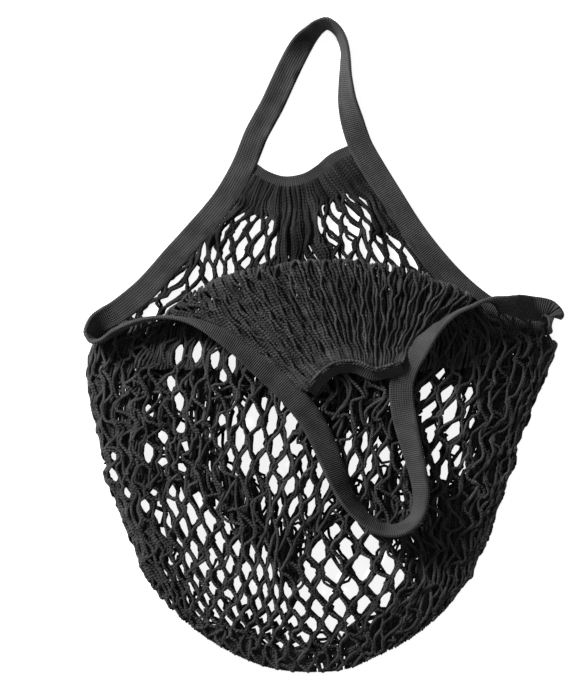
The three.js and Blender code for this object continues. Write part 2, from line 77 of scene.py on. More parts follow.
class Hem(Enum):
    """Which piece hangs on a stretch of the rim tape."""

    BACK_LEFT = "back left"
    BACK_RIGHT = "back right"
    FRONT_LEFT = "front left"
    FRONT_RIGHT = "front right"
    FLAP_LEFT = "flap left"
    FLAP_RIGHT = "flap right"
    HANDLE = "handle"


class Held(Enum):
    """How a soft piece is held."""

    LAID = "laid"
    FOLDED = "folded"
    GATHERED = "gathered"


@dataclass(frozen=True)
class Cut:
    """Flat size of a soft piece in metres, and for a net the estimated area of its cotton."""

    width: float
    length: float
    held: Held
    area: float | None = None

    def declare(self, piece: bpy.types.Object) -> None:
        """Does nothing with the piece it is given."""


@dataclass(frozen=True)
class TapeRow:
    """One point of the tape's centre line: place, aim of its free edge, and what it lies on."""

    u: float
    v: float
    az: float
    el: float
    on: float
    hem: Hem


@dataclass(frozen=True)
class EdgeRow:
    """Left and right edge of the net at one level, in shares of the half width."""

    v: float
    left: float
    right: float


@dataclass(frozen=True)
class GapPatch:
    """A patch where the layers match so that meshes stay open, stretched or turned at will."""

    u: float
    v: float
    wide: float
    tall: float
    strength: float
    swell: float = 0.0
    turn: float = 0.0
    full: float = 1.0


@dataclass(frozen=True)
class PaintedShadeCrease:
    """A lengthwise fold in the tape, a shallow dent in shape and painted shade in colour, a
    painted highlight where depth is below 0: its stretch in tape rows, place across, width, depth.
    """

    first_row: float
    last_row: float
    across: float
    wide: float
    depth: float


@dataclass(frozen=True)
class Opening:
    """A single opening parted between close strands, with its lean in degrees."""

    u: float
    v: float
    wide: float
    tall: float
    lean: float = 0.0


TAPE_ROWS = (
    TapeRow(-0.98, 0.045, 185, 66, 0.5, Hem.HANDLE),
    TapeRow(-0.955, 0.115, 155, 36, 0, Hem.HANDLE),
    TapeRow(-0.88, 0.175, 140, 10, 0, Hem.BACK_LEFT),
    TapeRow(-0.752, 0.311, 135, 0, 0, Hem.BACK_LEFT),
    TapeRow(-0.639, 0.478, 135, 0, 0, Hem.BACK_LEFT),
    TapeRow(-0.525, 0.644, 136, 0, 0, Hem.BACK_LEFT),
    TapeRow(-0.42, 0.811, 141, 0, 0, Hem.BACK_LEFT),
    TapeRow(-0.336, 1.007, 155, 0, 0, Hem.HANDLE),
    TapeRow(-0.286, 1.205, 157, 0, 0, Hem.HANDLE),
    TapeRow(-0.218, 1.404, 156, 2, 0, Hem.HANDLE),
    TapeRow(-0.16, 1.603, 153, 6, 0, Hem.HANDLE),
    TapeRow(-0.1, 1.785, 147, 24, 0, Hem.HANDLE),
    TapeRow(-0.052, 1.878, 130, 52, 0, Hem.HANDLE),
    TapeRow(0.01, 1.94, 95, 68, 0, Hem.HANDLE),
    TapeRow(0.062, 1.88, 40, 74, 0, Hem.HANDLE),
    TapeRow(0.088, 1.76, 8, 74, 0, Hem.HANDLE),
    TapeRow(0.09, 1.61, 0, 64, 0, Hem.HANDLE),
    TapeRow(0.097, 1.44, 5, 45, 0, Hem.HANDLE),
    TapeRow(0.12, 1.29, 14, 20, 0, Hem.HANDLE),
    TapeRow(0.155, 1.13, 22, 3, 0, Hem.HANDLE),
    TapeRow(0.205, 0.99, 32, 0, 0, Hem.BACK_RIGHT),
    TapeRow(0.286, 0.817, 37, 0, 0, Hem.BACK_RIGHT),
    TapeRow(0.366, 0.65, 38, 0, 0, Hem.BACK_RIGHT),
    TapeRow(0.462, 0.483, 40, 0, 0, Hem.BACK_RIGHT),
    TapeRow(0.58, 0.317, 46, 0, 0, Hem.BACK_RIGHT),
    TapeRow(0.72, 0.18, 56, 0, 0, Hem.BACK_RIGHT),
    TapeRow(0.86, 0.115, 70, 0, 0, Hem.BACK_RIGHT),
    TapeRow(0.94, 0.12, 78, 0, 0, Hem.HANDLE),
    TapeRow(0.962, 0.15, 80, 0, 0.5, Hem.HANDLE),
    TapeRow(0.94, 0.185, 84, 0, 1, Hem.HANDLE),
    TapeRow(0.88, 0.2, 90, 0, 1, Hem.FRONT_RIGHT),
    TapeRow(0.795, 0.218, 96, 34, 1, Hem.FRONT_RIGHT),
    TapeRow(0.731, 0.245, 100, 74, 1, Hem.FRONT_RIGHT),
    TapeRow(0.676, 0.244, 110, 88, 1, Hem.FRONT_RIGHT),
    TapeRow(0.613, 0.211, 300, 88, 1, Hem.FLAP_RIGHT),
    TapeRow(0.555, 0.178, 310, 86, 1, Hem.FLAP_RIGHT),
    TapeRow(0.496, 0.122, 315, 80, 1, Hem.FLAP_RIGHT),
    TapeRow(0.44, 0.055, 318, 56, 1, Hem.FLAP_RIGHT),
    TapeRow(0.392, -0.012, 325, 32, 1, Hem.FLAP_RIGHT),
    TapeRow(0.345, -0.065, 338, 8, 1, Hem.HANDLE),
    TapeRow(0.322, -0.127, 352, 0, 1, Hem.HANDLE),
    TapeRow(0.33, -0.2, 6, 10, 1, Hem.HANDLE),
    TapeRow(0.357, -0.288, 8, 34, 1, Hem.HANDLE),
    TapeRow(0.387, -0.373, 4, 46, 1, Hem.HANDLE),
    TapeRow(0.404, -0.455, 350, 54, 1, Hem.HANDLE),
    TapeRow(0.38, -0.525, 315, 62, 1, Hem.HANDLE),
    TapeRow(0.298, -0.56, 270, 66, 1, Hem.HANDLE),
    TapeRow(0.214, -0.545, 240, 62, 1, Hem.HANDLE),
    TapeRow(0.14, -0.503, 225, 56, 1, Hem.HANDLE),
    TapeRow(0.08, -0.44, 214, 46, 1, Hem.HANDLE),
    TapeRow(0.036, -0.364, 208, 26, 1, Hem.HANDLE),
    TapeRow(-0.008, -0.288, 208, 6, 1, Hem.HANDLE),
    TapeRow(-0.06, -0.221, 216, 0, 1, Hem.HANDLE),
    TapeRow(-0.13, -0.156, 222, 0, 1, Hem.FLAP_LEFT),
    TapeRow(-0.206, -0.1, 226, 4, 1, Hem.FLAP_LEFT),
    TapeRow(-0.282, -0.05, 232, 14, 1, Hem.FLAP_LEFT),
    TapeRow(-0.353, -0.005, 238, 30, 1, Hem.FLAP_LEFT),
    TapeRow(-0.437, 0.062, 242, 50, 1, Hem.FLAP_LEFT),
    TapeRow(-0.508, 0.11, 248, 68, 1, Hem.FLAP_LEFT),
    TapeRow(-0.576, 0.138, 256, 82, 1, Hem.FLAP_LEFT),
    TapeRow(-0.647, 0.148, 90, 88, 1, Hem.FRONT_LEFT),
    TapeRow(-0.731, 0.142, 100, 87, 1, Hem.FRONT_LEFT),
    TapeRow(-0.811, 0.113, 110, 86, 1, Hem.FRONT_LEFT),
    TapeRow(-0.882, 0.068, 120, 85, 1, Hem.FRONT_LEFT),
    TapeRow(-0.945, 0.018, 195, 82, 1, Hem.HANDLE),
)

BACK_BAND_ROWS = (
    (-0.305, 0.985), (-0.244, 0.935), (-0.168, 0.905), (-0.08, 0.922),
    (-0.017, 0.97), (0.04, 1.04), (0.12, 1.1),
)

FRONT_BAND_ROWS = (
    (-0.055, -0.145), (0.0, -0.098), (0.055, -0.073), (0.13, -0.071),
    (0.205, -0.092), (0.262, -0.085), (0.325, -0.07),
)

OUTLINE_ROWS = (
    EdgeRow(0.0, -0.975, 0.985),
    EdgeRow(-0.076, -0.994, 0.948),
    EdgeRow(-0.167, -0.982, 0.892),
    EdgeRow(-0.258, -0.954, 0.832),
    EdgeRow(-0.348, -0.921, 0.788),
    EdgeRow(-0.439, -0.89, 0.75),
    EdgeRow(-0.53, -0.84, 0.708),
    EdgeRow(-0.621, -0.786, 0.657),
    EdgeRow(-0.712, -0.728, 0.59),
    EdgeRow(-0.803, -0.626, 0.492),
    EdgeRow(-0.894, -0.479, 0.345),
    EdgeRow(-0.95, -0.345, 0.205),
    EdgeRow(-0.988, -0.185, 0.08),
)
LAST_SIDE_ROW = 8

FOLD_ROWS = (
    (-0.66, 0.17), (-0.584, 0.285), (-0.45, 0.35), (-0.311, 0.39), (-0.101, 0.428),
    (0.109, 0.428), (0.319, 0.405), (0.487, 0.33), (0.62, 0.25),
)

# Painted shade: each row darkens the tape's colour along a fold, and lightens it as a painted
# highlight where its depth is below 0; the tape itself dents by at most 0.7 mm. The wide row over
# rows 46 to 53 darkens the front handle's left leg as painted shade.
PAINTED_SHADE_CREASES = (
    PaintedShadeCrease(6.4, 12.0, -1.0, 0.22, 1.0),
    PaintedShadeCrease(6.4, 11.4, -0.58, 0.12, -0.5),
    PaintedShadeCrease(7.6, 11.0, 0.2, 0.3, 0.45),
    PaintedShadeCrease(7.0, 11.0, 0.75, 0.2, -0.3),
    PaintedShadeCrease(10.4, 13.2, 0.3, 0.7, 0.65),
    PaintedShadeCrease(13.0, 18.5, -1.0, 0.25, 0.6),
    PaintedShadeCrease(46.0, 53.0, 0.1, 0.9, 0.5),
    PaintedShadeCrease(46.0, 54.0, -0.9, 0.25, 0.7),
    PaintedShadeCrease(41.0, 46.0, 0.9, 0.25, 0.5),
    PaintedShadeCrease(2.0, 7.0, 0.1, 0.22, 0.25),
    PaintedShadeCrease(2.5, 7.2, -0.72, 0.1, 0.8),
    PaintedShadeCrease(20.4, 25.5, -0.78, 0.1, 0.5),
)

GAP_PATCHES = (
    GapPatch(-0.315, 0.585, 20, 21, 0.9, 0.5, 0, 1.3),
    GapPatch(-0.540, 0.385, 34, 22, 1.0, 0.0, 0, 0.5),
    GapPatch(-0.665, 0.300, 30, 23, 1.0, 0.9, 0, 0.1),
    GapPatch(0.085, 0.680, 17, 19, 1.0, 0.75, 0, 0.5),
    GapPatch(0.255, 0.495, 32, 15, 1.0, 0.2, -5, 1.0),
    GapPatch(-0.285, -0.290, 29, 32, 1.0, 0.0, -12, 0.85),
    GapPatch(-0.101, -0.441, 30, 34, 0.8, 0.0, -8, 0.8),
    GapPatch(0.152, -0.350, 23, 22, 1.0, 0.0, -8),
    GapPatch(-0.564, -0.545, 27, 23, 0.95, 0.1, 0, 0.7),
    GapPatch(-0.417, -0.715, 50, 34, 1.0, 0.3, -8, 0.15),
    GapPatch(0.120, -0.678, 48, 40, 0.0, 0.85, 8),
    GapPatch(0.120, -0.690, 26, 34, 1.0, 0.0, 0, 0.8),
    GapPatch(-0.143, -0.815, 44, 26, 0.95, 0.0, 0, 0.4),
    GapPatch(0.455, -0.205, 26, 22, 1.0, 0.15, -12, 1.0),
    GapPatch(0.475, -0.356, 24, 16, 0.85, 0.0, 0, 1.2),
)

OPENINGS = (
    Opening(-0.611, -0.032, 6.4, 15.2, 12),
    Opening(-0.535, -0.026, 6.4, 16.8, 6),
    Opening(-0.459, -0.044, 6.4, 17.6, -4),
    Opening(-0.387, -0.053, 5.6, 15.2, -6),
    Opening(-0.425, -0.098, 5.6, 10.4, 10),
    Opening(-0.644, -0.117, 6.4, 12.0, -6),
    Opening(-0.611, -0.171, 6.4, 14.4, -10),
    Opening(-0.733, -0.202, 4.8, 10.4, -35),
    Opening(-0.429, -0.226, 4.8, 9.6),
    Opening(-0.606, -0.250, 8.8, 9.6, -40),
    Opening(-0.678, -0.280, 6.4, 10.4, -15),
    Opening(-0.585, -0.308, 8.0, 7.2, 60),
    Opening(-0.741, -0.329, 7.2, 15.2),
    Opening(-0.678, -0.356, 7.2, 6.4),
    Opening(-0.598, -0.371, 7.2, 4.8),
    Opening(-0.888, -0.338, 4.0, 6.4, -10),
    Opening(-0.888, -0.395, 4.8, 12.0, -30),
    Opening(-0.829, -0.450, 4.0, 8.8, -25),
    Opening(-0.716, -0.450, 5.6, 5.6),
    Opening(-0.640, -0.447, 6.4, 8.0, -30),
    Opening(-0.754, -0.489, 5.6, 10.4, -15),
    Opening(-0.695, -0.517, 7.2, 10.4, -30),
    Opening(0.493, -0.095, 7.2, 9.6, -25),
    Opening(0.611, -0.147, 6.4, 9.6, 10),
    Opening(0.623, -0.238, 4.0, 9.6, 15),
    Opening(0.547, -0.265, 4.8, 10.4, 15),
    Opening(0.371, -0.265, 5.6, 11.2, -12),
    Opening(0.564, -0.353, 4.8, 11.2, 15),
    Opening(0.396, -0.347, 4.8, 8.8, -30),
    Opening(0.257, -0.335, 6.4, 13.6, -12),
)


@dataclass
class Layout:
    """The floor plan and heights that every piece of the bag is built on, in millimetres."""

    half_width: float = 190.0
    body_length: float = 264.0
    panel_rise: float = 144.0
    handle_rise: float = 120.0
    net_wall: float = 2.4
    layer_gap: float = 0.6
    loft: float = 22.0

    def place(self, u: Array, v: Array) -> Array:
        """Turns shares of the named sizes into points of the floor plan.

        Args:
            u: Shares of the half width.
            v: Shares of the body length, the panel rise and the handle rise.

        Returns:
            Points with z = 0.
        """
        u, v = np.asarray(u, float), np.asarray(v, float)
        y = np.where(v < 0, v * self.body_length, np.minimum(v, 1) * self.panel_rise)
        y = y + np.maximum(v - 1, 0) * self.handle_rise
        return np.stack([u * self.half_width, y, np.zeros_like(y)], axis=-1)

    def front_height(self, x: Array, y: Array) -> Array:
        """Gives the height of the middle of the front layer.

        Args:
            x: Plan x.
            y: Plan y.

        Returns:
            Heights above the floor.
        """
        v = np.where(y < 0, y / self.body_length, y / self.panel_rise)
        levels = [-row.v for row in OUTLINE_ROWS]
        left = np.interp(-v, levels, [row.left for row in OUTLINE_ROWS])
        right = np.interp(-v, levels, [row.right for row in OUTLINE_ROWS])
        across = np.clip((2 * x / self.half_width - left - right) / (right - left), -1, 1)
        along = np.clip(v + 1, 0, 1) ** 0.7
        bulge = self.loft * (1 - np.abs(across) ** 2.6) * along
        return 1.5 * self.net_wall + self.layer_gap + bulge

    def front_top(self, x: Array, y: Array) -> Array:
        """Gives the height at which a piece lying on the front layer touches down."""
        return self.front_height(x, y) + self.net_wall / 2 + self.layer_gap


class SmoothCurve:
    """A centripetal Catmull-Rom curve through given points."""

    def __init__(self, points: Array, closed: bool = False) -> None:
        """Keeps the points and samples the curve's length.

        Args:
            points: The points it passes, one a row.
            closed: Whether the last point leads back to the first.
        """
        self.points = np.asarray(points, float)
        self.closed = closed
        fine = np.linspace(0, 1, 60 * len(self.points))
        steps = np.linalg.norm(np.diff(self.at(fine), axis=0), axis=1)
        self.lengths = np.concatenate([[0.0], np.cumsum(steps)])
        self.shares = fine

    @property
    def length(self) -> float:
        """The curve's length."""
        return float(self.lengths[-1])

    def at(self, share: Array) -> Array:
        """Gives points by the curve's own parameter.

        Args:
            share: Parameters from 0 to 1.

        Returns:
            One point a parameter.
        """
        share = np.atleast_1d(np.asarray(share, float))
        count = len(self.points)
        spans = count if self.closed else count - 1
        place = share * spans
        first = np.floor(place).astype(int)
        if not self.closed:
            first = np.clip(first, 0, spans - 1)
        weight = (place - first)[:, None]
        if self.closed:
            p0, p1, p2, p3 = (self.points[(first + k) % count] for k in (-1, 0, 1, 2))
        else:
            head = 2 * self.points[0] - self.points[1]
            tail = 2 * self.points[-1] - self.points[-2]
            padded = np.vstack([head, self.points, tail])
            p0, p1, p2, p3 = (padded[first + k] for k in range(4))
        d0, d1, d2 = (
            np.maximum(((b - a) ** 2).sum(axis=1, keepdims=True) ** 0.25, 1e-4)
            for a, b in ((p0, p1), (p1, p2), (p2, p3))
        )
        t1 = ((p1 - p0) / d0 - (p2 - p0) / (d0 + d1) + (p2 - p1) / d1) * d1
        t2 = ((p2 - p1) / d1 - (p3 - p1) / (d1 + d2) + (p3 - p2) / d2) * d1
        c2 = -3 * p1 + 3 * p2 - 2 * t1 - t2
        c3 = 2 * p1 - 2 * p2 + t1 + t2
        return p1 + t1 * weight + c2 * weight**2 + c3 * weight**3

    def at_length(self, share: Array) -> Array:
        """Gives points by their share of the curve's length.

        Args:
            share: Length shares from 0 to 1, of any shape.

        Returns:
            Points, with the shares' shape and one more axis.
        """
        share = np.asarray(share, float)
        wanted = np.clip(share.ravel(), 0, 1) * self.length
        points = self.at(np.interp(wanted, self.lengths, self.shares))
        return points.reshape(share.shape + (3,))


def smoothstep(x: Array) -> Array:
    """Eases 0 to 1 with flat ends."""
    x = np.clip(x, 0, 1)
    return x * x * (3 - 2 * x)


class Waver:
    """A smooth seeded field that shifts strands sideways, as handled net lies."""

    def __init__(self, seed: int, amplitude: float, wavelength: float, waves: int = 7) -> None:
        """Draws the field's waves.

        Args:
            seed: Start of the random numbers.
            amplitude: Typical shift.
            wavelength: Typical distance between two crests.
            waves: How many waves are added up for each direction.
        """
        rng = np.random.default_rng(seed)
        turn = rng.uniform(0, 2 * math.pi, (2, waves))
        pace = 2 * math.pi / (wavelength * rng.uniform(0.7, 1.5, (2, waves)))
        self.kx = np.cos(turn) * pace
        self.ky = np.sin(turn) * pace
        self.phase = rng.uniform(0, 2 * math.pi, (2, waves))
        self.amplitude = amplitude * math.sqrt(2 / waves)

    def shift(self, x: Array, y: Array) -> Array:
        """Gives the shift at plan points.

        Args:
            x: Plan x.
            y: Plan y.

        Returns:
            One x and y shift for each point, on the last axis.
        """
        out = []
        for kx, ky, phase in zip(self.kx, self.ky, self.phase):
            angle = x[..., None] * kx + y[..., None] * ky + phase
            out.append(self.amplitude * np.sin(angle).sum(axis=-1))
        return np.stack(out, axis=-1)


@dataclass
class Ribbon:
    """A flat knitted ribbon swept along stations, with cross ribs and thicker edges."""

    name: str
    node: str
    width: float
    thickness: float
    rib_pitch: float
    rib_depth: float
    closed: bool
    steps_per_rib: int = 4
    crease_depth: float = 0.7

    def section(self) -> Array:
        """Gives the ribbon's section as across and through offsets, once round."""
        half, deep = self.width / 2, self.thickness / 2
        edge = min(1.6, self.width * 0.12)
        inner = half - 2.1 * edge
        top = [(-half + 0.25 * edge, 0.55 * deep), (-half + edge, 1.0 * deep)]
        top += [(inner * step / 3, 0.7 * deep) for step in range(-3, 4)]
        top += [(half - edge, 1.0 * deep), (half - 0.25 * edge, 0.55 * deep)]
        low = [(a, -t) for a, t in reversed(top)]
        return np.array(top + low)

    def build(self, centre: Array, side: Array) -> bpy.types.Object:
        """Sweeps the section along a path.

        Args:
            centre: Points of the middle line, evenly spaced.
            side: Directions to the free edge, one a point.

        Returns:
            The finished object.
        """
        run = self.tangents(centre)
        side = side - (side * run).sum(axis=1, keepdims=True) * run
        side /= np.linalg.norm(side, axis=1, keepdims=True)
        normal = np.cross(run, side)
        section = self.section()
        count, corners = len(centre), len(section)
        phase = np.arange(count) % self.steps_per_rib / self.steps_per_rib
        rib = 1 - 2 * np.cos(math.pi * phase) ** 6
        flatness = 1 - 0.45 * (np.abs(section[:, 0]) / (self.width / 2)) ** 4
        reach = rib[:, None] * self.rib_depth * flatness[None, :]
        across = section[None, :, 0] * (1 + 0.012 * rib[:, None])
        # The fold depth dents the section and is also written out as painted shade for the colour.
        fold = self.crease_and_painted_shade(count, section[:, 0] / (self.width / 2))
        through = section[None, :, 1] + np.sign(section[None, :, 1]) * reach
        through = through - self.crease_depth * fold
        points = (
            centre[:, None, :]
            + across[..., None] * side[:, None, :]
            + through[..., None] * normal[:, None, :]
        )
        rows = np.concatenate([points, points[:, :1]], axis=1)
        if self.closed:
            rows = np.concatenate([rows, rows[:1]], axis=0)
        travelled = np.linalg.norm(np.diff(centre, axis=0), axis=1)
        travelled = np.concatenate([[0.0], np.cumsum(travelled)])
        if self.closed:
            travelled = np.append(travelled, travelled[-1] + travelled[1])
        girth = np.linspace(0, 1, corners + 1)
        uv = np.stack(np.meshgrid(travelled, girth, indexing="ij"), axis=-1)
        # Marks for the shader: painted shade in the rib grooves with lighter crests, and painted
        # shade in the folds with a painted highlight on raised lines.
        rib_painted_shade = np.repeat(rib[:, None] * 0.5 + 0.5, corners, axis=1)
        marks = {"rib_painted_shade": self.lapped(rib_painted_shade), "crease_painted_shade": self.lapped(fold)}
        return grid_object(self.name, rows, uv, marks, caps=not self.closed)

    def lapped(self, values: Array) -> Array:
        """Repeats a ring's first value at its end, and the first ring where it is closed."""
        around = np.concatenate([values, values[:, :1]], axis=1)
        return np.concatenate([around, around[:1]], axis=0) if self.closed else around

    def crease_and_painted_shade(self, count: int, across: Array) -> Array:
        """Tells how deep each point lies in a lengthwise fold, which dents the section and is
        painted as shade in the colour.

        Args:
            count: How many rings the ribbon has.
            across: Place of a ring's points from edge to edge, from -1 to 1.

        Returns:
            0 on the flat and up to 1 in a fold, for each ring and point.
        """
        return np.zeros((count, len(across)))

    def tangents(self, centre: Array) -> Array:
        """Gives the path's directions.

        Args:
            centre: Points of the middle line.

        Returns:
            Unit vectors, one a point.
        """
        if self.closed:
            run = np.roll(centre, -1, axis=0) - np.roll(centre, 1, axis=0)
        else:
            run = np.gradient(centre, axis=0)
        return run / np.linalg.norm(run, axis=1, keepdims=True)


def grid_object(
    name: str, rows: Array, uv: Array, marks: dict[str, Array], caps: bool
) -> bpy.types.Object:
    """Wraps a bmesh grid round a swept surface and closes its seams.

    Args:
        name: Name of the new object.
        rows: Points of the surface in millimetres, as rings of one length.
        uv: Length along and share round for each point.
        marks: Values for each point that the shader reads, by name.
        caps: Whether the first and last ring are filled.

    Returns:
        The object, with a UV map and smooth faces.
    """
    rings, corners = rows.shape[:2]
    shape = bmesh.new()
    bmesh.ops.create_grid(shape, x_segments=corners - 1, y_segments=rings - 1, size=1.0)
    layer = shape.loops.layers.uv.new("UVMap")
    shape.verts.ensure_lookup_table()
    flat = (rows.reshape(-1, 3) + PLAN_SHIFT) * METRES
    spots = uv.reshape(-1, 2)
    for vertex, point in zip(shape.verts, flat):
        vertex.co = point
    for label, values in marks.items():
        written = shape.verts.layers.float.new(label)
        for vertex, value in zip(shape.verts, values.ravel()):
            vertex[written] = value
    for face in shape.faces:
        for loop in face.loops:
            loop[layer].uv = spots[loop.vert.index]
    bmesh.ops.remove_doubles(shape, verts=shape.verts, dist=1e-7)
    if caps:
        ends = [edge for edge in shape.edges if edge.is_boundary]
        bmesh.ops.holes_fill(shape, edges=ends, sides=0)
    bmesh.ops.recalc_face_normals(shape, faces=shape.faces)
    for face in shape.faces:
        face.smooth = True
    mesh = bpy.data.meshes.new(name)
    shape.to_mesh(mesh)
    shape.free()
    made = bpy.data.objects.new(name, mesh)
    bpy.context.scene.collection.objects.link(made)
    return made


@dataclass
class RimTape(Ribbon):
    """The knitted tape that edges the mouth and runs on as both handles."""

    name: str = "rim_tape_knit"
    node: str = "rim_tape"
    width: float = 20.0
    thickness: float = 2.8
    rib_pitch: float = 1.6
    rib_depth: float = 0.3
    closed: bool = True
    steps_per_row: int = 2
    settle_passes: int = 16
    tuck: float = 2.0
    lift: float = 0.9
    lift_limits: tuple[float, float] = (170.0, 150.0)
    sewn_step: float = 0.2
    sewn_reach: float = 2.0
    sewn_ease: float = 3.0
    layout: Layout = field(default_factory=Layout)
    cut: Cut = Cut(0.02, 1.28, Held.LAID)

    def __post_init__(self) -> None:
        """Works out the stations once, as the part's source does."""
        rows = TAPE_ROWS
        plan_points = self.layout.place([r.u for r in rows], [r.v for r in rows])
        plan_points[:, 2] = [r.on for r in rows]
        az = np.radians([r.az for r in rows])
        el = np.radians([r.el for r in rows])
        aims = np.stack([np.cos(az) * np.cos(el), np.sin(az) * np.cos(el), np.sin(el)], axis=1)
        count = len(rows) * self.steps_per_row
        share = np.arange(count) / count
        self.centre = SmoothCurve(plan_points, closed=True).at(share)
        side = SmoothCurve(aims, closed=True).at(share)
        side /= np.linalg.norm(side, axis=1, keepdims=True)
        on = np.clip(self.centre[:, 2], 0, 1)
        rest = on * self.layout.front_top(self.centre[:, 0], self.centre[:, 1])
        for _ in range(self.settle_passes):
            self.side, normal = self.squared(side)
            half = np.abs(self.side[:, 2]) * self.width + np.abs(normal[:, 2]) * self.thickness
            self.centre[:, 2] = (self.centre[:, 2] + rest + half / 2) / 2
        self.side, _ = self.squared(side)
        high, low = self.lift_limits
        self.on_net = (1 - on) * smoothstep((high - self.centre[:, 1]) / (high - low))
        self.centre[:, 2] += self.lift * self.on_net
        self.hems = [rows[k // self.steps_per_row].hem for k in range(count)]

    def sewn_over(self, points: Array, height: float) -> Array:
        """Puts a strand under the stretches that are sewn over the back of the net.

        Args:
            points: Points of the strand, changed in place.
            height: Greatest height under the tape.

        Returns:
            The same points.
        """
        place = np.arange(0, len(self.centre), self.sewn_step)
        stations = np.arange(len(self.centre) + 1)
        sewn = np.interp(place, stations, np.append(self.on_net, self.on_net[0])) > 0.5
        share = place[sewn] / len(self.centre)
        middle = SmoothCurve(self.centre, closed=True).at(share)[:, :2]
        out = SmoothCurve(self.side, closed=True).at(share)[:, :2]
        out /= np.linalg.norm(out, axis=1, keepdims=True)
        apart = points[:, None, :2] - middle[None]
        nearest = np.linalg.norm(apart, axis=2).argmin(axis=1)
        offset = apart[np.arange(len(points)), nearest]
        gap = np.linalg.norm(offset, axis=1)
        beyond = np.clip((offset * out[nearest]).sum(axis=1) - self.width / 4, 0, self.width / 2)
        beyond *= smoothstep((self.width - gap) / self.sewn_ease)
        points[:, :2] -= beyond[:, None] * out[nearest]
        edge = self.width / 2 + self.sewn_reach
        under = smoothstep((edge - gap + beyond) / self.sewn_ease)
        points[:, 2] += (np.minimum(points[:, 2], height) - points[:, 2]) * under
        return points

    def squared(self, side: Array) -> tuple[Array, Array]:
        """Squares the side directions to the run of the tape.

        Args:
            side: Wanted directions of the free edge.

        Returns:
            The squared side directions and the face normals.
        """
        run = self.tangents(self.centre)
        square = side - (side * run).sum(axis=1, keepdims=True) * run
        square /= np.linalg.norm(square, axis=1, keepdims=True)
        return square, np.cross(run, square)

    def crease_and_painted_shade(self, count: int, across: Array) -> Array:
        """Tells how deep each point lies in one of the tape's folds, which dents the tape a little
        and darkens its colour as painted shade.

        Args:
            count: How many rings the tape has.
            across: Place of a ring's points from edge to edge, from -1 to 1.

        Returns:
            0 on the flat, up to 1 in a fold (painted shade) and below 0 on a raised line (painted
            highlight).
        """
        path = SmoothCurve(self.centre, closed=True)
        share = np.interp(np.arange(count) / count * path.length, path.lengths, path.shares)
        row = share * len(TAPE_ROWS)
        depth = np.zeros((count, len(across)))
        for crease_painted_shade in PAINTED_SHADE_CREASES:
            run = smoothstep((row - crease_painted_shade.first_row) / 0.8)
            run = run * smoothstep((crease_painted_shade.last_row - row) / 0.8)
            middle = crease_painted_shade.across + 0.08 * np.sin(row * 5.1) + 0.05 * np.sin(row * 11.3)
            off = (across[None, :] - middle[:, None]) / crease_painted_shade.wide
            uneven = 0.8 + 0.2 * np.sin(row * 7.7 + crease_painted_shade.across)
            depth += crease_painted_shade.depth * (run * uneven)[:, None] * np.exp(-(off**2))
        return np.clip(depth, -0.6, 1)

    def hem_points(self, hem: Hem) -> Array:
        """Gives the edge that net hangs on along one stretch.

        Args:
            hem: The stretch wanted.

        Returns:
            Points in the order of the loop.
        """
        picked = [k for k, kind in enumerate(self.hems) if kind is hem]
        return self.centre[picked] + self.side[picked] * (self.tuck - self.width / 2)

    def make(self) -> bpy.types.Object:
        """Sweeps the tape along its settled stations."""
        path = SmoothCurve(self.centre, closed=True)
        aim = SmoothCurve(self.side, closed=True)
        ribs = round(path.length / self.rib_pitch)
        count = ribs * self.steps_per_rib
        share = np.interp(
            np.arange(count) / count * path.length, path.lengths, path.shares
        )
        return self.build(path.at(share), aim.at(share))


@dataclass
class GatherBand(Ribbon):
    """A short ribbed band between the legs of a handle, which net is gathered onto."""

    name: str = "gather_band_knit"
    node: str = "back_gather_band"
    width: float = 10.5
    thickness: float = 2.4
    rib_pitch: float = 1.5
    rib_depth: float = 0.25
    closed: bool = False
    rows: tuple = BACK_BAND_ROWS
    free_side: float = 1.0
    on_front: bool = False
    tilt: float = 0.0
    tuck: float = 2.0
    layout: Layout = field(default_factory=Layout)
    cut: Cut = Cut(0.0105, 0.091, Held.LAID)

    def stations(self, count: int) -> tuple[Array, Array]:
        """Gives the band's middle line and side directions.

        Args:
            count: How many stations are wanted.

        Returns:
            Centres and sides.
        """
        table = np.array(self.rows)
        plan = SmoothCurve(self.layout.place(table[:, 0], table[:, 1]))
        centre = plan.at(np.linspace(0, 1, count))
        run = np.gradient(centre, axis=0)
        run /= np.linalg.norm(run, axis=1, keepdims=True)
        side = np.stack([-run[:, 1], run[:, 0], 0 * run[:, 0]], axis=1) * self.free_side
        rest = self.layout.front_top(centre[:, 0], centre[:, 1]) if self.on_front else 0.0
        lean = math.radians(self.tilt)
        side = side * math.cos(lean) - np.array([0, 0, math.sin(lean)])
        centre[:, 2] = rest + self.thickness / 2 + 0.5 * self.width * math.sin(lean)
        return centre, side

    def hem_points(self) -> Array:
        """Gives the edge that the net is gathered onto."""
        centre, side = self.stations(13)
        return centre + side * (self.tuck - self.width / 2)

    def make(self) -> bpy.types.Object:
        """Sweeps the band along its line."""
        length = SmoothCurve(self.stations(13)[0]).length
        count = round(length / self.rib_pitch) * self.steps_per_rib + 1
        return self.build(*self.stations(count))


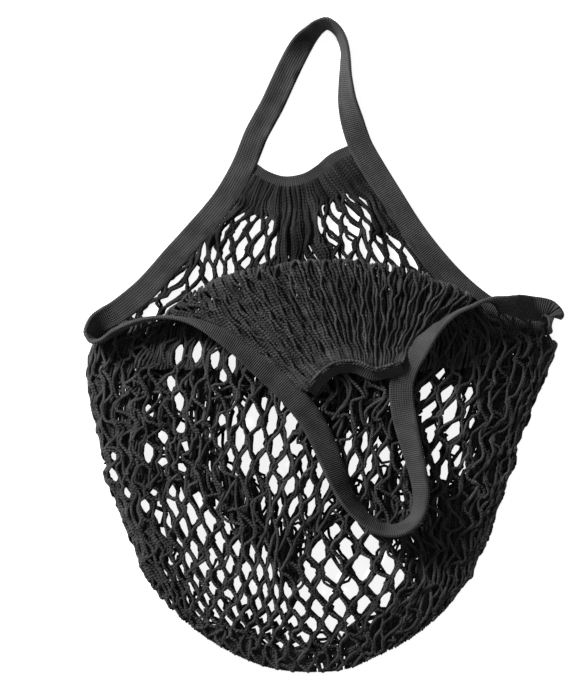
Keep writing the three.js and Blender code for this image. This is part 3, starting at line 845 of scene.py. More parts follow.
@dataclass
class NetPlan:
    """The lattice that all layers share: columns of meshes across, half rows of meshes up."""

    layout: Layout
    tape: RimTape
    back_band: GatherBand
    front_band: GatherBand
    columns: int = 56
    body_rows: int = 17
    row_height: float = 16.0
    fold_radius: float = 3.5
    edge_crowding: float = 0.12
    back_shares: tuple[float, float] = (0.16, 0.84)
    flap_shares: tuple[float, float] = (0.12, 0.9)
    rim_shares: tuple[float, float] = (0.14, 0.84)

    def __post_init__(self) -> None:
        """Lays out the edge curves of the body, the panels and the flap."""
        sides = OUTLINE_ROWS[: LAST_SIDE_ROW + 1][::-1]
        low = OUTLINE_ROWS[LAST_SIDE_ROW:]
        place = self.layout.place
        low_left = place([r.left for r in low], [r.v for r in low])
        low_right = place([r.right for r in low], [r.v for r in low])
        self.seam = SmoothCurve(np.vstack([low_left, low_right[::-1]]))
        self.left = SmoothCurve(place([r.left for r in sides], [r.v for r in sides]))
        self.right = SmoothCurve(place([r.right for r in sides], [r.v for r in sides]))
        corner_left, corner_right = self.left.points[-1], self.right.points[-1]
        self.mouth = SmoothCurve(np.vstack([corner_left, corner_right]))
        hem = self.tape.hem_points
        self.back_hem = self.joined(
            [corner_left[None], hem(Hem.BACK_LEFT)],
            [self.back_band.hem_points()],
            [hem(Hem.BACK_RIGHT), corner_right[None]],
        )
        fold = place(*np.array(FOLD_ROWS).T)
        fold[:, 2] = self.layout.front_height(fold[:, 0], fold[:, 1])
        self.front_rim = self.joined(
            [corner_left[None], hem(Hem.FRONT_LEFT)[::-1]],
            [fold],
            [hem(Hem.FRONT_RIGHT)[::-1], corner_right[None]],
        )
        self.flap_hem = self.joined(
            [hem(Hem.FLAP_LEFT)[::-1]],
            [self.front_band.hem_points()],
            [hem(Hem.FLAP_RIGHT)[::-1]],
        )
        self.fold_span = (
            self.rim_shares[0] * self.columns,
            self.rim_shares[1] * self.columns,
        )

    @staticmethod
    def joined(*parts: list[Array]) -> tuple[SmoothCurve, float, float]:
        """Joins three stretches of hem.

        Args:
            parts: Points of the left, middle and right stretch.

        Returns:
            The curve, and the length shares at which its middle stretch starts and ends.
        """
        groups = [np.vstack(part) for part in parts]
        points = np.vstack(groups)
        curve = SmoothCurve(points)
        spans = len(points) - 1
        starts = np.array([len(groups[0]) - 0.5, len(groups[0]) + len(groups[1]) - 0.5]) / spans
        shares = np.interp(starts, curve.shares, curve.lengths) / curve.length
        return curve, float(shares[0]), float(shares[1])

    def across(self, a: Array) -> Array:
        """Turns columns into shares of the width, crowded at both edges.

        Args:
            a: Columns.

        Returns:
            Shares of the width, from 0 at the left to 1 at the right.
        """
        u = 2 * np.clip(a / self.columns, 0, 1) - 1
        crowd = self.edge_crowding
        return 0.5 + 0.5 * (u * (1 + crowd) - crowd * np.sign(u) * np.abs(u) ** 7)

    def on_hem(self, hem: tuple[SmoothCurve, float, float], a: Array, shares: tuple) -> Array:
        """Finds where a column ends on a hem.

        Args:
            hem: The joined hem.
            a: Columns.
            shares: Column shares that the middle stretch takes, first and last.

        Returns:
            Points of the hem.
        """
        curve, first, last = hem
        share = np.interp(a / self.columns, [0, shares[0], shares[1], 1], [0, first, last, 1])
        return curve.at_length(share)

    def body(self, a: Array, b: Array) -> Array:
        """Gives plan points of the body below the mouth.

        Args:
            a: Columns.
            b: Half rows from the bottom seam, up to body_rows.

        Returns:
            Points with z = 0.
        """
        s = self.across(a)
        level = np.clip(b / self.body_rows, 0, 1)
        t = 0.45 * level**1.8 + 0.55 * level
        s1, t1 = s[..., None], t[..., None]
        bottom, top = self.seam.at_length(s), self.mouth.at_length(s)
        left, right = self.left.at_length(t), self.right.at_length(t)
        low = (1 - s1) * self.left.points[0] + s1 * self.right.points[0]
        high = (1 - s1) * self.left.points[-1] + s1 * self.right.points[-1]
        return (
            (1 - t1) * bottom + t1 * top + (1 - s1) * left + s1 * right
            - (1 - t1) * low - t1 * high
        )

    def bent(self, start: Array, end: Array, travelled: Array, lean: float) -> tuple[Array, Array]:
        """Follows a column from one edge to the next in a slight bow.

        Args:
            start: Where the columns start.
            end: Where they end.
            travelled: Distance from the start.
            lean: How far the bow keeps going straight up, as a share of its length.

        Returns:
            The points, and the share of the way that they are at.
        """
        reach = np.linalg.norm((end - start)[..., :2], axis=-1)
        share = np.clip(travelled / np.maximum(reach, 1e-6), 0, 1)
        middle = 0.5 * (start + end)
        middle[..., 0] += lean * (start - end)[..., 0]
        w = share[..., None]
        return (1 - w) ** 2 * start + 2 * w * (1 - w) * middle + w**2 * end, share


@dataclass(kw_only=True)
class StringNet:
    """A layer of net made of strands, each of which zigzags from the bottom to the hem."""

    name: str
    plan: NetPlan
    radius: float = 1.25
    sides: int = 8
    join: float = 0.15
    seed: int = SEED
    tone_spread: float = 0.5
    crumple: float = 2.6
    fine_crumple: float = 0.5
    panel_calm: float = 0.7
    parting: float = 2.2
    runs_across: bool = False

    def __post_init__(self) -> None:
        """Draws the fields by which this layer lies unevenly."""
        self.rng = np.random.default_rng(self.seed)
        self.broad = Waver(SEED, 2.0, 120.0)
        self.small = Waver(self.seed + 50, self.crumple, 26.0)
        self.fine = Waver(self.seed + 90, self.fine_crumple, 11.0)

    def openness(self, x: Array, y: Array) -> Array:
        """Tells how far the layers lie on each other at plan points.

        Args:
            x: Plan x.
            y: Plan y.

        Returns:
            0 where they lie apart, up to 1 where they match.
        """
        layout = self.plan.layout
        best = np.zeros_like(x)
        for patch in GAP_PATCHES:
            centre = layout.place(patch.u, patch.v)
            far = np.hypot((x - centre[0]) / patch.wide, (y - centre[1]) / patch.tall)
            best = np.maximum(best, patch.strength * smoothstep((1.25 - far) / 0.4))
        return best

    def fullness(self, x: Array, y: Array) -> Array:
        """Tells how wide the bundles lie between open meshes at plan points.

        Args:
            x: Plan x.
            y: Plan y.

        Returns:
            0 away from the patches, 1 where bundles have their full spread.
        """
        layout = self.plan.layout
        best = np.zeros_like(x)
        for patch in GAP_PATCHES:
            centre = layout.place(patch.u, patch.v)
            far = np.hypot((x - centre[0]) / patch.wide, (y - centre[1]) / patch.tall)
            weight = patch.strength > 0
            best = np.maximum(best, weight * patch.full * smoothstep((1.35 - far) / 0.5))
        return best

    def swollen(self, points: Array) -> Array:
        """Spreads the meshes round the patches that are stretched wide.

        Args:
            points: Plan points.

        Returns:
            The moved points.
        """
        out = points.copy()
        for patch in GAP_PATCHES:
            centre = self.plan.layout.place(patch.u, patch.v)
            away = points - centre
            far = np.hypot(away[..., 0] / patch.wide, away[..., 1] / patch.tall)
            close = np.exp(-(far**2))[..., None]
            across = np.stack([-away[..., 1], away[..., 0], 0 * far], axis=-1)
            out += patch.swell * away * close * [1, 0.1, 0]
            out += math.radians(patch.turn) * across * close
        return out

    def parted(self, points: Array) -> Array:
        """Pushes a strand aside round the single openings.

        Args:
            points: Points of the strand.

        Returns:
            The moved points.
        """
        out = points.copy()
        for gap in OPENINGS:
            centre = self.plan.layout.place(gap.u, gap.v)
            lean = math.radians(gap.lean)
            down = np.array([math.sin(lean), math.cos(lean), 0])
            side = np.array([down[1], -down[0], 0])
            across, along = gap.wide / 2 + self.radius, gap.tall / 2 + self.radius
            if self.runs_across:
                side, down, across, along = down, side, along, across
            p, q = (out - centre) @ side / across, (out - centre) @ down / along
            near = (np.abs(q) < 1) & (np.abs(p) < self.parting)
            if not near.any():
                continue
            way = 1.0 if p[near].mean() >= 0 else -1.0
            edge = np.sqrt(np.clip(1 - q**2, 0, 1))
            beyond = np.clip(p * way, 0, self.parting)
            spot = edge + beyond * (self.parting - edge) / self.parting
            out += ((spot * way - p) * near * across)[:, None] * side
        return out

    def crumpled(self, points: Array, a: Array, b: Array, quiet: Array | float = 0) -> Array:
        """Shifts a strand as handled net lies: less in open meshes and near the edges.

        Args:
            points: The strand's points.
            a: Their columns.
            b: Their half rows.
            quiet: How much of the shift is held back, from 0 to 1.

        Returns:
            The points moved on the floor plan.
        """
        x, y = points[:, 0], points[:, 1]
        inward = np.minimum(a, self.plan.columns - a)
        on_panel = smoothstep(y / 25)
        loose = smoothstep(b / 1.5) * smoothstep((b.max() - b) / 1.2)
        loose = loose * (0.3 + 0.7 * smoothstep(inward / 4))
        loose = loose * (1 - on_panel * (1 - smoothstep((inward - 2) / 8)))
        loose = loose * (1 - self.panel_calm * on_panel) * (1 - quiet)
        calm = 1 - 0.65 * self.openness(x, y)
        shift = self.broad.shift(x, y) + self.small.shift(x, y) * calm[:, None]
        ends = smoothstep(np.minimum(b - b.min(), b.max() - b) / 1.5)
        out = points.copy()
        ends = ends * (1 - on_panel * (1 - smoothstep((inward - 1) / 5)))
        out[:, :2] += shift * loose[:, None] + self.fine.shift(x, y) * ends[:, None]
        return self.parted(self.swollen(out))

    def zigzag(self, column: float, rows: float) -> tuple[Array, Array, Array]:
        """Steps one strand from knot to knot.

        Args:
            column: The strand's own column, half way between its two lines of knots.
            rows: How many half rows it climbs.

        Returns:
            Columns and half rows of its points, and how near to a knot each point is.
        """
        join = self.join
        fractions = np.array([-join, 0.0, join, 0.38, 0.5, 0.62])
        b = (np.arange(math.ceil(rows) + 1)[:, None] + fractions).ravel()
        b = np.unique(np.clip(b, 0, rows))
        return self.knots_near(column, b), b, self.knot_share(b)

    def knots_near(self, column: Array, b: Array) -> Array:
        """Follows the line of knots nearest to a column.

        Args:
            column: Column that the strand keeps to.
            b: Half rows of its points.

        Returns:
            Columns of the points on the shared lattice.
        """
        level = np.floor(b)
        here = self.nearest_knot(column, level)
        above = self.nearest_knot(column, level + 1)
        climb = smoothstep(np.clip((b - level - self.join) / (1 - 2 * self.join), 0, 1))
        straight = np.clip((b - level - self.join) / (1 - 2 * self.join), 0, 1)
        return here + (above - here) * (0.35 * climb + 0.65 * straight)

    def nearest_knot(self, column: Array, level: Array) -> Array:
        """Finds the nearest column with a knot on a level, every second one having it."""
        odd = np.mod(level, 2)
        return 2 * np.round((column - odd) / 2 + 1e-6) + odd

    def knot_share(self, b: Array) -> Array:
        """Tells how near points are to a knot, 1 at the knot and 0 on the bars."""
        off = np.abs(b - np.round(b))
        return smoothstep(1 - off / (1.8 * self.join))

    def tubes(self, strands: list[Array], radii: list[Array]) -> bpy.types.Object:
        """Turns the strands' middle lines into round tubes with a UV map.

        Args:
            strands: Points of each strand in millimetres.
            radii: Radius at each point.

        Returns:
            The finished object.
        """
        kept = [self.spaced(points) for points in strands]
        strands = [points[keep] for points, keep in zip(strands, kept)]
        radii = [radius[keep] for radius, keep in zip(radii, kept)]
        line = bpy.data.curves.new(self.name + "_lines", "CURVE")
        line.dimensions = "3D"
        line.bevel_depth = METRES
        line.bevel_resolution = (self.sides - 4) // 2
        line.use_fill_caps = False
        line.twist_mode = "MINIMUM"
        for points, radius in zip(strands, radii):
            spline = line.splines.new("POLY")
            spline.points.add(len(points) - 1)
            spots = np.ones((len(points), 4))
            spots[:, :3] = (points + PLAN_SHIFT) * METRES
            spline.points.foreach_set("co", spots.ravel())
            spline.points.foreach_set("radius", radius)
        drawn = bpy.data.objects.new(self.name + "_lines", line)
        bpy.context.scene.collection.objects.link(drawn)
        mesh = drawn.to_mesh().copy()
        drawn.to_mesh_clear()
        bpy.data.objects.remove(drawn)
        bpy.data.curves.remove(line)
        mesh.name = self.name
        self.mark(mesh, strands)
        self.close_ends(mesh)
        made = bpy.data.objects.new(self.name, mesh)
        bpy.context.scene.collection.objects.link(made)
        return made

    @staticmethod
    def spaced(points: Array) -> Array:
        """Tells which points of a strand are clear of the one before them."""
        steps = np.linalg.norm(np.diff(points, axis=0), axis=1)
        return np.concatenate([[True], steps > 0.15])

    @staticmethod
    def close_ends(mesh: bpy.types.Mesh) -> None:
        """Closes the open ends of the tubes.

        Args:
            mesh: The tubes, changed in place.
        """
        shape = bmesh.new()
        shape.from_mesh(mesh)
        ends = [edge for edge in shape.edges if edge.is_boundary]
        bmesh.ops.holes_fill(shape, edges=ends, sides=0)
        bmesh.ops.recalc_face_normals(shape, faces=shape.faces)
        shape.to_mesh(mesh)
        shape.free()

    def mark(self, mesh: bpy.types.Mesh, strands: list[Array]) -> None:
        """Writes length, girth and tone of the strands onto the mesh.

        Args:
            mesh: The tubes, ring after ring.
            strands: Points of each strand.
        """
        along, girth, tone = [], [], []
        for points in strands:
            steps = np.linalg.norm(np.diff(points, axis=0), axis=1)
            travelled = np.concatenate([[0.0], np.cumsum(steps)])
            along.append(np.repeat(travelled + self.rng.uniform(0, 50), self.sides))
            girth.append(np.tile(np.arange(self.sides) / self.sides, len(points)))
            shade = self.rng.uniform(-self.tone_spread, self.tone_spread)
            tone.append(np.full(len(points) * self.sides, shade))
        for label, values in (("along", along), ("girth", girth), ("tone", tone)):
            flat = np.concatenate(values)
            layer = mesh.attributes.new(label, "FLOAT", "POINT")
            if len(flat) != len(mesh.vertices):
                raise ValueError(f"{self.name}: {len(flat)} marks, {len(mesh.vertices)} points")
            layer.data.foreach_set("value", flat.astype(np.float32))
        mesh.polygons.foreach_set("use_smooth", np.ones(len(mesh.polygons), bool))

    def thick(self, near_knot: Array) -> Array:
        """Gives the strand's radius, fuller at the knots and a little uneven."""
        uneven = self.rng.normal(0, 0.05, len(near_knot))
        return self.radius * (1 + 0.16 * near_knot + uneven)


@dataclass(kw_only=True)
class BackNet(StringNet):
    """The layer that lies on the floor, up to the back hem and its gather band."""

    name: str = "back_net_strands"
    cut: Cut = Cut(0.38, 0.42, Held.LAID, 0.07)
    shift_a: float = 1.0
    shift_b: float = 0.3

    def run(self, column: float) -> tuple[Array, Array]:
        """Lays one strand.

        Args:
            column: The strand's column.

        Returns:
            Its points and radii.
        """
        plan = self.plan
        start = plan.mouth.at_length(plan.across(np.array([column])))
        end = plan.on_hem(plan.back_hem, np.array([column]), plan.back_shares)
        climb = float(np.linalg.norm((end - start)[0, :2])) / plan.row_height
        a, b, near = self.zigzag(column, plan.body_rows + climb)
        points = self.points(a, b)
        match = self.openness(points[:, 0], points[:, 1])
        below = smoothstep((plan.body_rows + 1.5 - b) / 3)
        away = (1 - match) * below
        points = self.points(a + self.shift_a * away, b + self.shift_b * away)
        aside = self.points(a + 0.02, b) - self.points(a - 0.02, b)
        aside /= np.maximum(np.linalg.norm(aside, axis=1, keepdims=True), 1e-6)
        points += aside * (np.sign(column - a) * near * self.radius * 0.8)[:, None]
        points = self.crumpled(points, a, b)
        hem_height = float(end[0, 2]) * smoothstep((b - b[-1] + 1.0))
        points[:, 2] = np.maximum(self.radius, hem_height) + 0.5 * near
        return plan.tape.sewn_over(points, self.radius), self.thick(near)

    def points(self, a: Array, b: Array) -> Array:
        """Gives plan points of the back layer.

        Args:
            a: Columns.
            b: Half rows from the bottom seam.

        Returns:
            Points with z = 0.
        """
        plan = self.plan
        body = plan.body(a, b)
        start = plan.mouth.at_length(plan.across(a))
        end = plan.on_hem(plan.back_hem, a, plan.back_shares)
        above, _ = plan.bent(start, end, (b - plan.body_rows) * plan.row_height, 0.25)
        out = np.where((b > plan.body_rows)[:, None], above, body)
        out[:, 2] = 0
        return out

    def make(self) -> bpy.types.Object:
        """Lays all strands of the layer."""
        runs = [self.run(k + 0.5) for k in range(self.plan.columns)]
        return self.tubes([r[0] for r in runs], [r[1] for r in runs])


@dataclass(kw_only=True)
class FrontNet(StringNet):
    """The layer on top, up to the fold, and the panel folded forward as far as its hem."""

    name: str = "front_net_strands"
    seed: int = SEED + 1
    cut: Cut = Cut(0.38, 0.5, Held.FOLDED, 0.09)
    ridge_points: int = 48
    ridge_radius: float = 1.15

    def run(self, column: float) -> tuple[Array, Array]:
        """Lays one strand.

        Args:
            column: The strand's column.

        Returns:
            Its points and radii.
        """
        plan = self.plan
        here = np.array([column])
        start = plan.mouth.at_length(plan.across(here))
        rim = plan.on_hem(plan.front_rim, here, plan.rim_shares)
        first = float(np.linalg.norm((rim - start)[0, :2]))
        reach = first
        if plan.fold_span[0] < column < plan.fold_span[1]:
            share = self.flap_share(here)
            hem = plan.on_hem(plan.flap_hem, share, plan.flap_shares)
            second = float(np.linalg.norm((hem - rim)[0, :2]))
            reach += math.pi * plan.fold_radius + second
        a, b, near = self.zigzag(column, plan.body_rows + reach / plan.row_height)
        fold_row = plan.body_rows + first / plan.row_height
        drawn = smoothstep((b - fold_row + 0.5) / 3)
        a = column + (a - column) * (1 - 0.55 * drawn)
        near = near * (1 - 0.7 * drawn)
        points = self.points(a, b)
        aside = self.points(a + 0.02, b) - self.points(a - 0.02, b)
        aside[:, 2] = 0
        aside /= np.maximum(np.linalg.norm(aside, axis=1, keepdims=True), 1e-6)
        points += aside * (np.sign(column - a) * near * self.radius * 0.8)[:, None]
        points = self.crumpled(points, a, b, 0.8 * drawn)
        points[:, 2] += self.rng.normal(0, 0.25, len(points)) + 0.6 * near
        points[:, 2] += drawn * self.rng.uniform(0, 1.6)
        return points, self.thick(near) * (1 - 0.22 * drawn)

    def flap_share(self, a: Array) -> Array:
        """Spreads the columns of the fold over the whole flap hem."""
        first, last = self.plan.fold_span
        return (a - first) / (last - first) * self.plan.columns

    def points(self, a: Array, b: Array) -> Array:
        """Gives points of the front layer, round its fold and on to the flap's hem.

        Args:
            a: Columns.
            b: Half rows from the bottom seam.

        Returns:
            Points with their heights.
        """
        plan, layout = self.plan, self.plan.layout
        body = plan.body(a, b)
        body[:, 2] = layout.front_height(body[:, 0], body[:, 1])
        start = plan.mouth.at_length(plan.across(a))
        start[:, 2] = layout.front_height(start[:, 0], start[:, 1])
        rim = plan.on_hem(plan.front_rim, a, plan.rim_shares)
        travelled = (b - plan.body_rows) * plan.row_height
        panel, share = plan.bent(start, rim, travelled, 0.1)
        flat = layout.front_height(panel[:, 0], panel[:, 1])
        panel[:, 2] = flat + (panel[:, 2] - flat) * smoothstep(share * 3 - 2)
        out = np.where((b > plan.body_rows)[:, None], panel, body)
        first = np.linalg.norm((rim - start)[:, :2], axis=1)
        past = travelled - first
        folded = (past > 0) & (a > plan.fold_span[0]) & (a < plan.fold_span[1])
        bend = math.pi * plan.fold_radius
        turn = np.clip(past / bend, 0, 1) * math.pi
        outward = rim - start
        outward[:, 2] = 0
        outward /= np.maximum(np.linalg.norm(outward, axis=1, keepdims=True), 1e-6)
        level = layout.front_height(rim[:, 0], rim[:, 1])
        round_it = rim + outward * (plan.fold_radius * np.sin(turn))[:, None]
        round_it[:, 2] = level + plan.fold_radius * (1 - np.cos(turn))
        out = np.where((folded & (past <= bend))[:, None], round_it, out)
        hem = plan.on_hem(plan.flap_hem, self.flap_share(a), plan.flap_shares)
        flap, along = plan.bent(rim, hem, past - bend, 0.0)
        rise = 2 * plan.fold_radius + (3.0 - 2 * plan.fold_radius) * smoothstep(along)
        lie = layout.front_height(flap[:, 0], flap[:, 1]) + rise
        flap[:, 2] = lie + (hem[:, 2] - lie) * smoothstep(along * 5 - 4)
        return np.where((folded & (past > bend))[:, None], flap, out)

    def make(self) -> bpy.types.Object:
        """Lays all strands of the layer."""
        runs = [self.run(k + 0.5) for k in range(self.plan.columns)]
        runs += [self.ridge(step) for step in (-0.8, 1.6)]
        return self.tubes([r[0] for r in runs], [r[1] for r in runs])

    def ridge(self, step: float) -> tuple[Array, Array]:
        """Lays one of the drawn strands that stand up along the front gather band.

        Args:
            step: How far it lies from the band's edge, away from the band.

        Returns:
            Its points and radii.
        """
        band = self.plan.front_band
        centre, side = band.stations(self.ridge_points)
        points = centre - side * (band.width / 2 + step)
        place = np.arange(self.ridge_points)
        points[:, 2] += 1.2 - 0.3 * step + 0.5 * np.sin(place * 0.9 + step)
        taper = np.clip(np.minimum(place, place[::-1]) / 4, 0.5, 1)
        return points, self.ridge_radius * taper


@dataclass(kw_only=True)
class TuckedNet(BackNet):
    """Slack net between the two layers, drawn together into bundles of close strands."""

    name: str = "tucked_net_strands"
    seed: int = SEED + 2
    cut: Cut = Cut(0.76, 0.35, Held.FOLDED, 0.23)
    spacing: float = 0.24
    radius: float = 1.3
    sides: int = 6
    spread: float = 3.2
    sway: float = 0.12
    crumple: float = 0.9
    first_row: float = 0.0
    last_row: float = 18.5

    def run(self, column: float) -> tuple[Array, Array]:
        """Lays one strand.

        Args:
            column: The strand's column.

        Returns:
            Its points and radii.
        """
        plan = self.plan
        last = min(self.last_row, plan.body_rows + self.climb(column))
        count = math.ceil((last - self.first_row) * 3.5) + 1
        b = np.linspace(self.first_row, last, count)
        sway = self.rng.normal(0, self.sway) * np.sin(b * self.rng.uniform(0.5, 1.1) + column)
        free = column + sway
        knotted = self.knots_near(np.full_like(b, column), b)
        spots = self.points(free, b)
        match = self.openness(spots[:, 0], spots[:, 1])
        a = np.clip(free + (knotted - free) * smoothstep(match * 1.6), 0, plan.columns)
        points = self.points(a, b)
        full = 0.1 + 0.9 * smoothstep(1 - np.abs(b - np.round(b)) / 0.42)
        points[:, 0] += self.bundle_place(column) * full * self.fullness(*spots[:, :2].T)
        points = self.crumpled(points, a, b)
        points[:, 2] = self.heights(points, b, column)
        return plan.tape.sewn_over(points, self.radius), np.full(len(points), self.radius)

    def bundle_place(self, column: float) -> float:
        """Gives a strand's place across its bundle, from one side to the other."""
        share = (column % 1.0) * 2 - 1
        return self.spread * (1.2 * share + float(self.rng.uniform(-0.1, 0.1)))

    def climb(self, column: float) -> float:
        """Counts the half rows between the mouth and the back hem.

        Args:
            column: The column to climb.

        Returns:
            Half rows, with their fraction.
        """
        plan = self.plan
        here = np.array([column])
        start = plan.mouth.at_length(plan.across(here))
        end = plan.on_hem(plan.back_hem, here, plan.back_shares)
        return float(np.linalg.norm((end - start)[0, :2])) / plan.row_height

    def heights(self, points: Array, b: Array, column: float) -> Array:
        """Stacks a strand between the back and the front layer.

        Args:
            points: Its points.
            b: Their half rows.
            column: The strand's column.

        Returns:
            Heights of the points.
        """
        low = 3.0
        high = self.plan.layout.front_height(points[:, 0], points[:, 1]) - 2.6
        level = self.rng.uniform(0, 0.9) + 0.15 * np.sin(b * 0.9 + column)
        return low + np.maximum(high - low, 0) * np.clip(level, 0, 1)

    def make(self) -> bpy.types.Object:
        """Lays all strands of the bundles."""
        columns = np.arange(self.spacing / 2, self.plan.columns, self.spacing)
        runs = [self.run(float(c)) for c in columns]
        return self.tubes([r[0] for r in runs], [r[1] for r in runs])


@dataclass(kw_only=True)
class YokeNet(TuckedNet):
    """Close folds of net below the back gather band, down to the folded front panel."""

    name: str = "yoke_net_strands"
    seed: int = SEED + 3
    cut: Cut = Cut(0.76, 0.2, Held.GATHERED, 0.11)
    spacing: float = 0.25
    spread: float = 1.7
    crumple: float = 2.2
    panel_calm: float = 0.25
    first_row: float = 15.0
    last_row: float = 40.0
    fold_pitch: float = 2.2
    fold_height: float = 4.0

    def heights(self, points: Array, b: Array, column: float) -> Array:
        """Lays a strand over the folds that the gather band draws the net into.

        Args:
            points: Its points.
            b: Their half rows.
            column: The strand's column.

        Returns:
            Heights of the points.
        """
        wave = 0.5 + 0.5 * np.sin(2 * math.pi * column / self.fold_pitch + 0.9 * np.sin(b * 0.8))
        near = smoothstep((points[:, 1] - 55) / 40) * smoothstep((b[-1] - b - 0.6) / 2.5)
        still = 1 - self.openness(points[:, 0], points[:, 1])
        rise = self.fold_height * wave * near * still
        inward = smoothstep(min(column, self.plan.columns - column) / 10)
        return 1.3 + (0.9 + rise + 1.6 * self.rng.uniform(0, 1)) * inward


@dataclass(kw_only=True)
class CrossNet(TuckedNet):
    """Slack net lying crosswise under the front layer, from one side of the bag to the other."""

    name: str = "cross_net_strands"
    seed: int = SEED + 5
    cut: Cut = Cut(0.38, 0.3, Held.FOLDED, 0.07)
    spacing: float = 0.3
    spread: float = 1.8
    crumple: float = 2.6
    last_row: float = 17.5
    runs_across: bool = True

    def run(self, row: float) -> tuple[Array, Array]:
        """Lays one strand.

        Args:
            row: The half row that the strand keeps to.

        Returns:
            Its points and radii.
        """
        a = np.arange(0.15, self.plan.columns, 0.5)
        free = row + self.rng.normal(0, 0.3) * np.sin(a * self.rng.uniform(0.4, 0.9) + row)
        free = np.clip(free, 0.1, self.last_row)
        whole = np.floor(a)
        here = self.nearest_knot(row, whole)
        after = self.nearest_knot(row, whole + 1)
        knotted = np.clip(here + (after - here) * (a - whole), 0.1, self.last_row)
        spots = self.points(a, free)
        match = self.openness(spots[:, 0], spots[:, 1])
        b = free + (knotted - free) * smoothstep(match * 1.6)
        points = self.points(a, b)
        points[:, 1] += self.rng.uniform(-self.spread, self.spread)
        points = self.crumpled(points, a, b)
        points[:, 2] = self.heights(points, a, row)
        points = self.plan.tape.sewn_over(points, self.radius)
        return points, np.full(len(points), self.radius)

    def make(self) -> bpy.types.Object:
        """Lays all strands of the bundles."""
        rows = np.arange(0.7, self.last_row, self.spacing)
        runs = [self.run(float(row)) for row in rows]
        return self.tubes([r[0] for r in runs], [r[1] for r in runs])


@dataclass(kw_only=True)
class FlapLining(FrontNet):
    """The far side of the front panel's gathers, seen dark between its strands."""

    name: str = "flap_lining_strands"
    seed: int = SEED + 4
    cut: Cut = Cut(0.38, 0.2, Held.GATHERED, 0.07)
    sides: int = 6
    radius: float = 1.2
    below: float = 2.2

    def run(self, column: float) -> tuple[Array, Array]:
        """Lays one strand.

        Args:
            column: The strand's column.

        Returns:
            Its points and radii.
        """
        plan = self.plan
        here = np.array([column])
        start = plan.mouth.at_length(plan.across(here))
        rim = plan.on_hem(plan.front_rim, here, plan.rim_shares)
        hem = plan.on_hem(plan.flap_hem, self.flap_share(here), plan.flap_shares)
        reach = float(np.linalg.norm((rim - start)[0, :2]))
        reach += math.pi * plan.fold_radius + float(np.linalg.norm((hem - rim)[0, :2]))
        b = np.arange(plan.body_rows - 1, plan.body_rows + reach / plan.row_height, 0.25)
        sway = self.rng.normal(0, 0.15) * np.sin(b * self.rng.uniform(0.6, 1.2) + column)
        a = np.clip(column + sway, plan.fold_span[0] + 0.2, plan.fold_span[1] - 0.2)
        points = self.points(a, b)
        points = self.crumpled(points, a, b, 0.6)
        ends = smoothstep(np.minimum(b - b[0], b[-1] - b) / 1.2)
        points[:, 2] -= self.below * ends * self.rng.uniform(0.1, 1.2)
        return points, np.full(len(points), self.radius)

    def make(self) -> bpy.types.Object:
        """Lays all strands of the lining."""
        first, last = self.plan.fold_span
        columns = np.arange(first + 0.3, last - 0.3, 0.4)
        runs = [self.run(float(c)) for c in columns]
        return self.tubes([r[0] for r in runs], [r[1] for r in runs])


@dataclass(frozen=True)
class CottonFinish:
    """Dull black cotton: its shade, roughness, stitch depth and how patchily it faded."""

    name: str
    shade: float
    roughness: float
    sheen: float
    bump: float
    mottle: float
    patches: float


TAPE_COTTON = CottonFinish("tape_cotton_black", 0.048, 0.9, 0.06, 0.5, 0.25, 60)
NET_COTTON = CottonFinish("net_cotton_black", 0.037, 0.92, 0.08, 0.5, 0.5, 110)
SLACK_COTTON = CottonFinish("slack_net_cotton_black", 0.038, 0.95, 0.05, 0.5, 0.5, 110)
# Painted shade: the same cotton at about half the shade, used for the back layer and the yoke.
INNER_PAINTED_SHADE_COTTON = CottonFinish("inner_net_cotton_painted_shade", 0.02, 0.95, 0.03, 0.5, 0.6, 60)


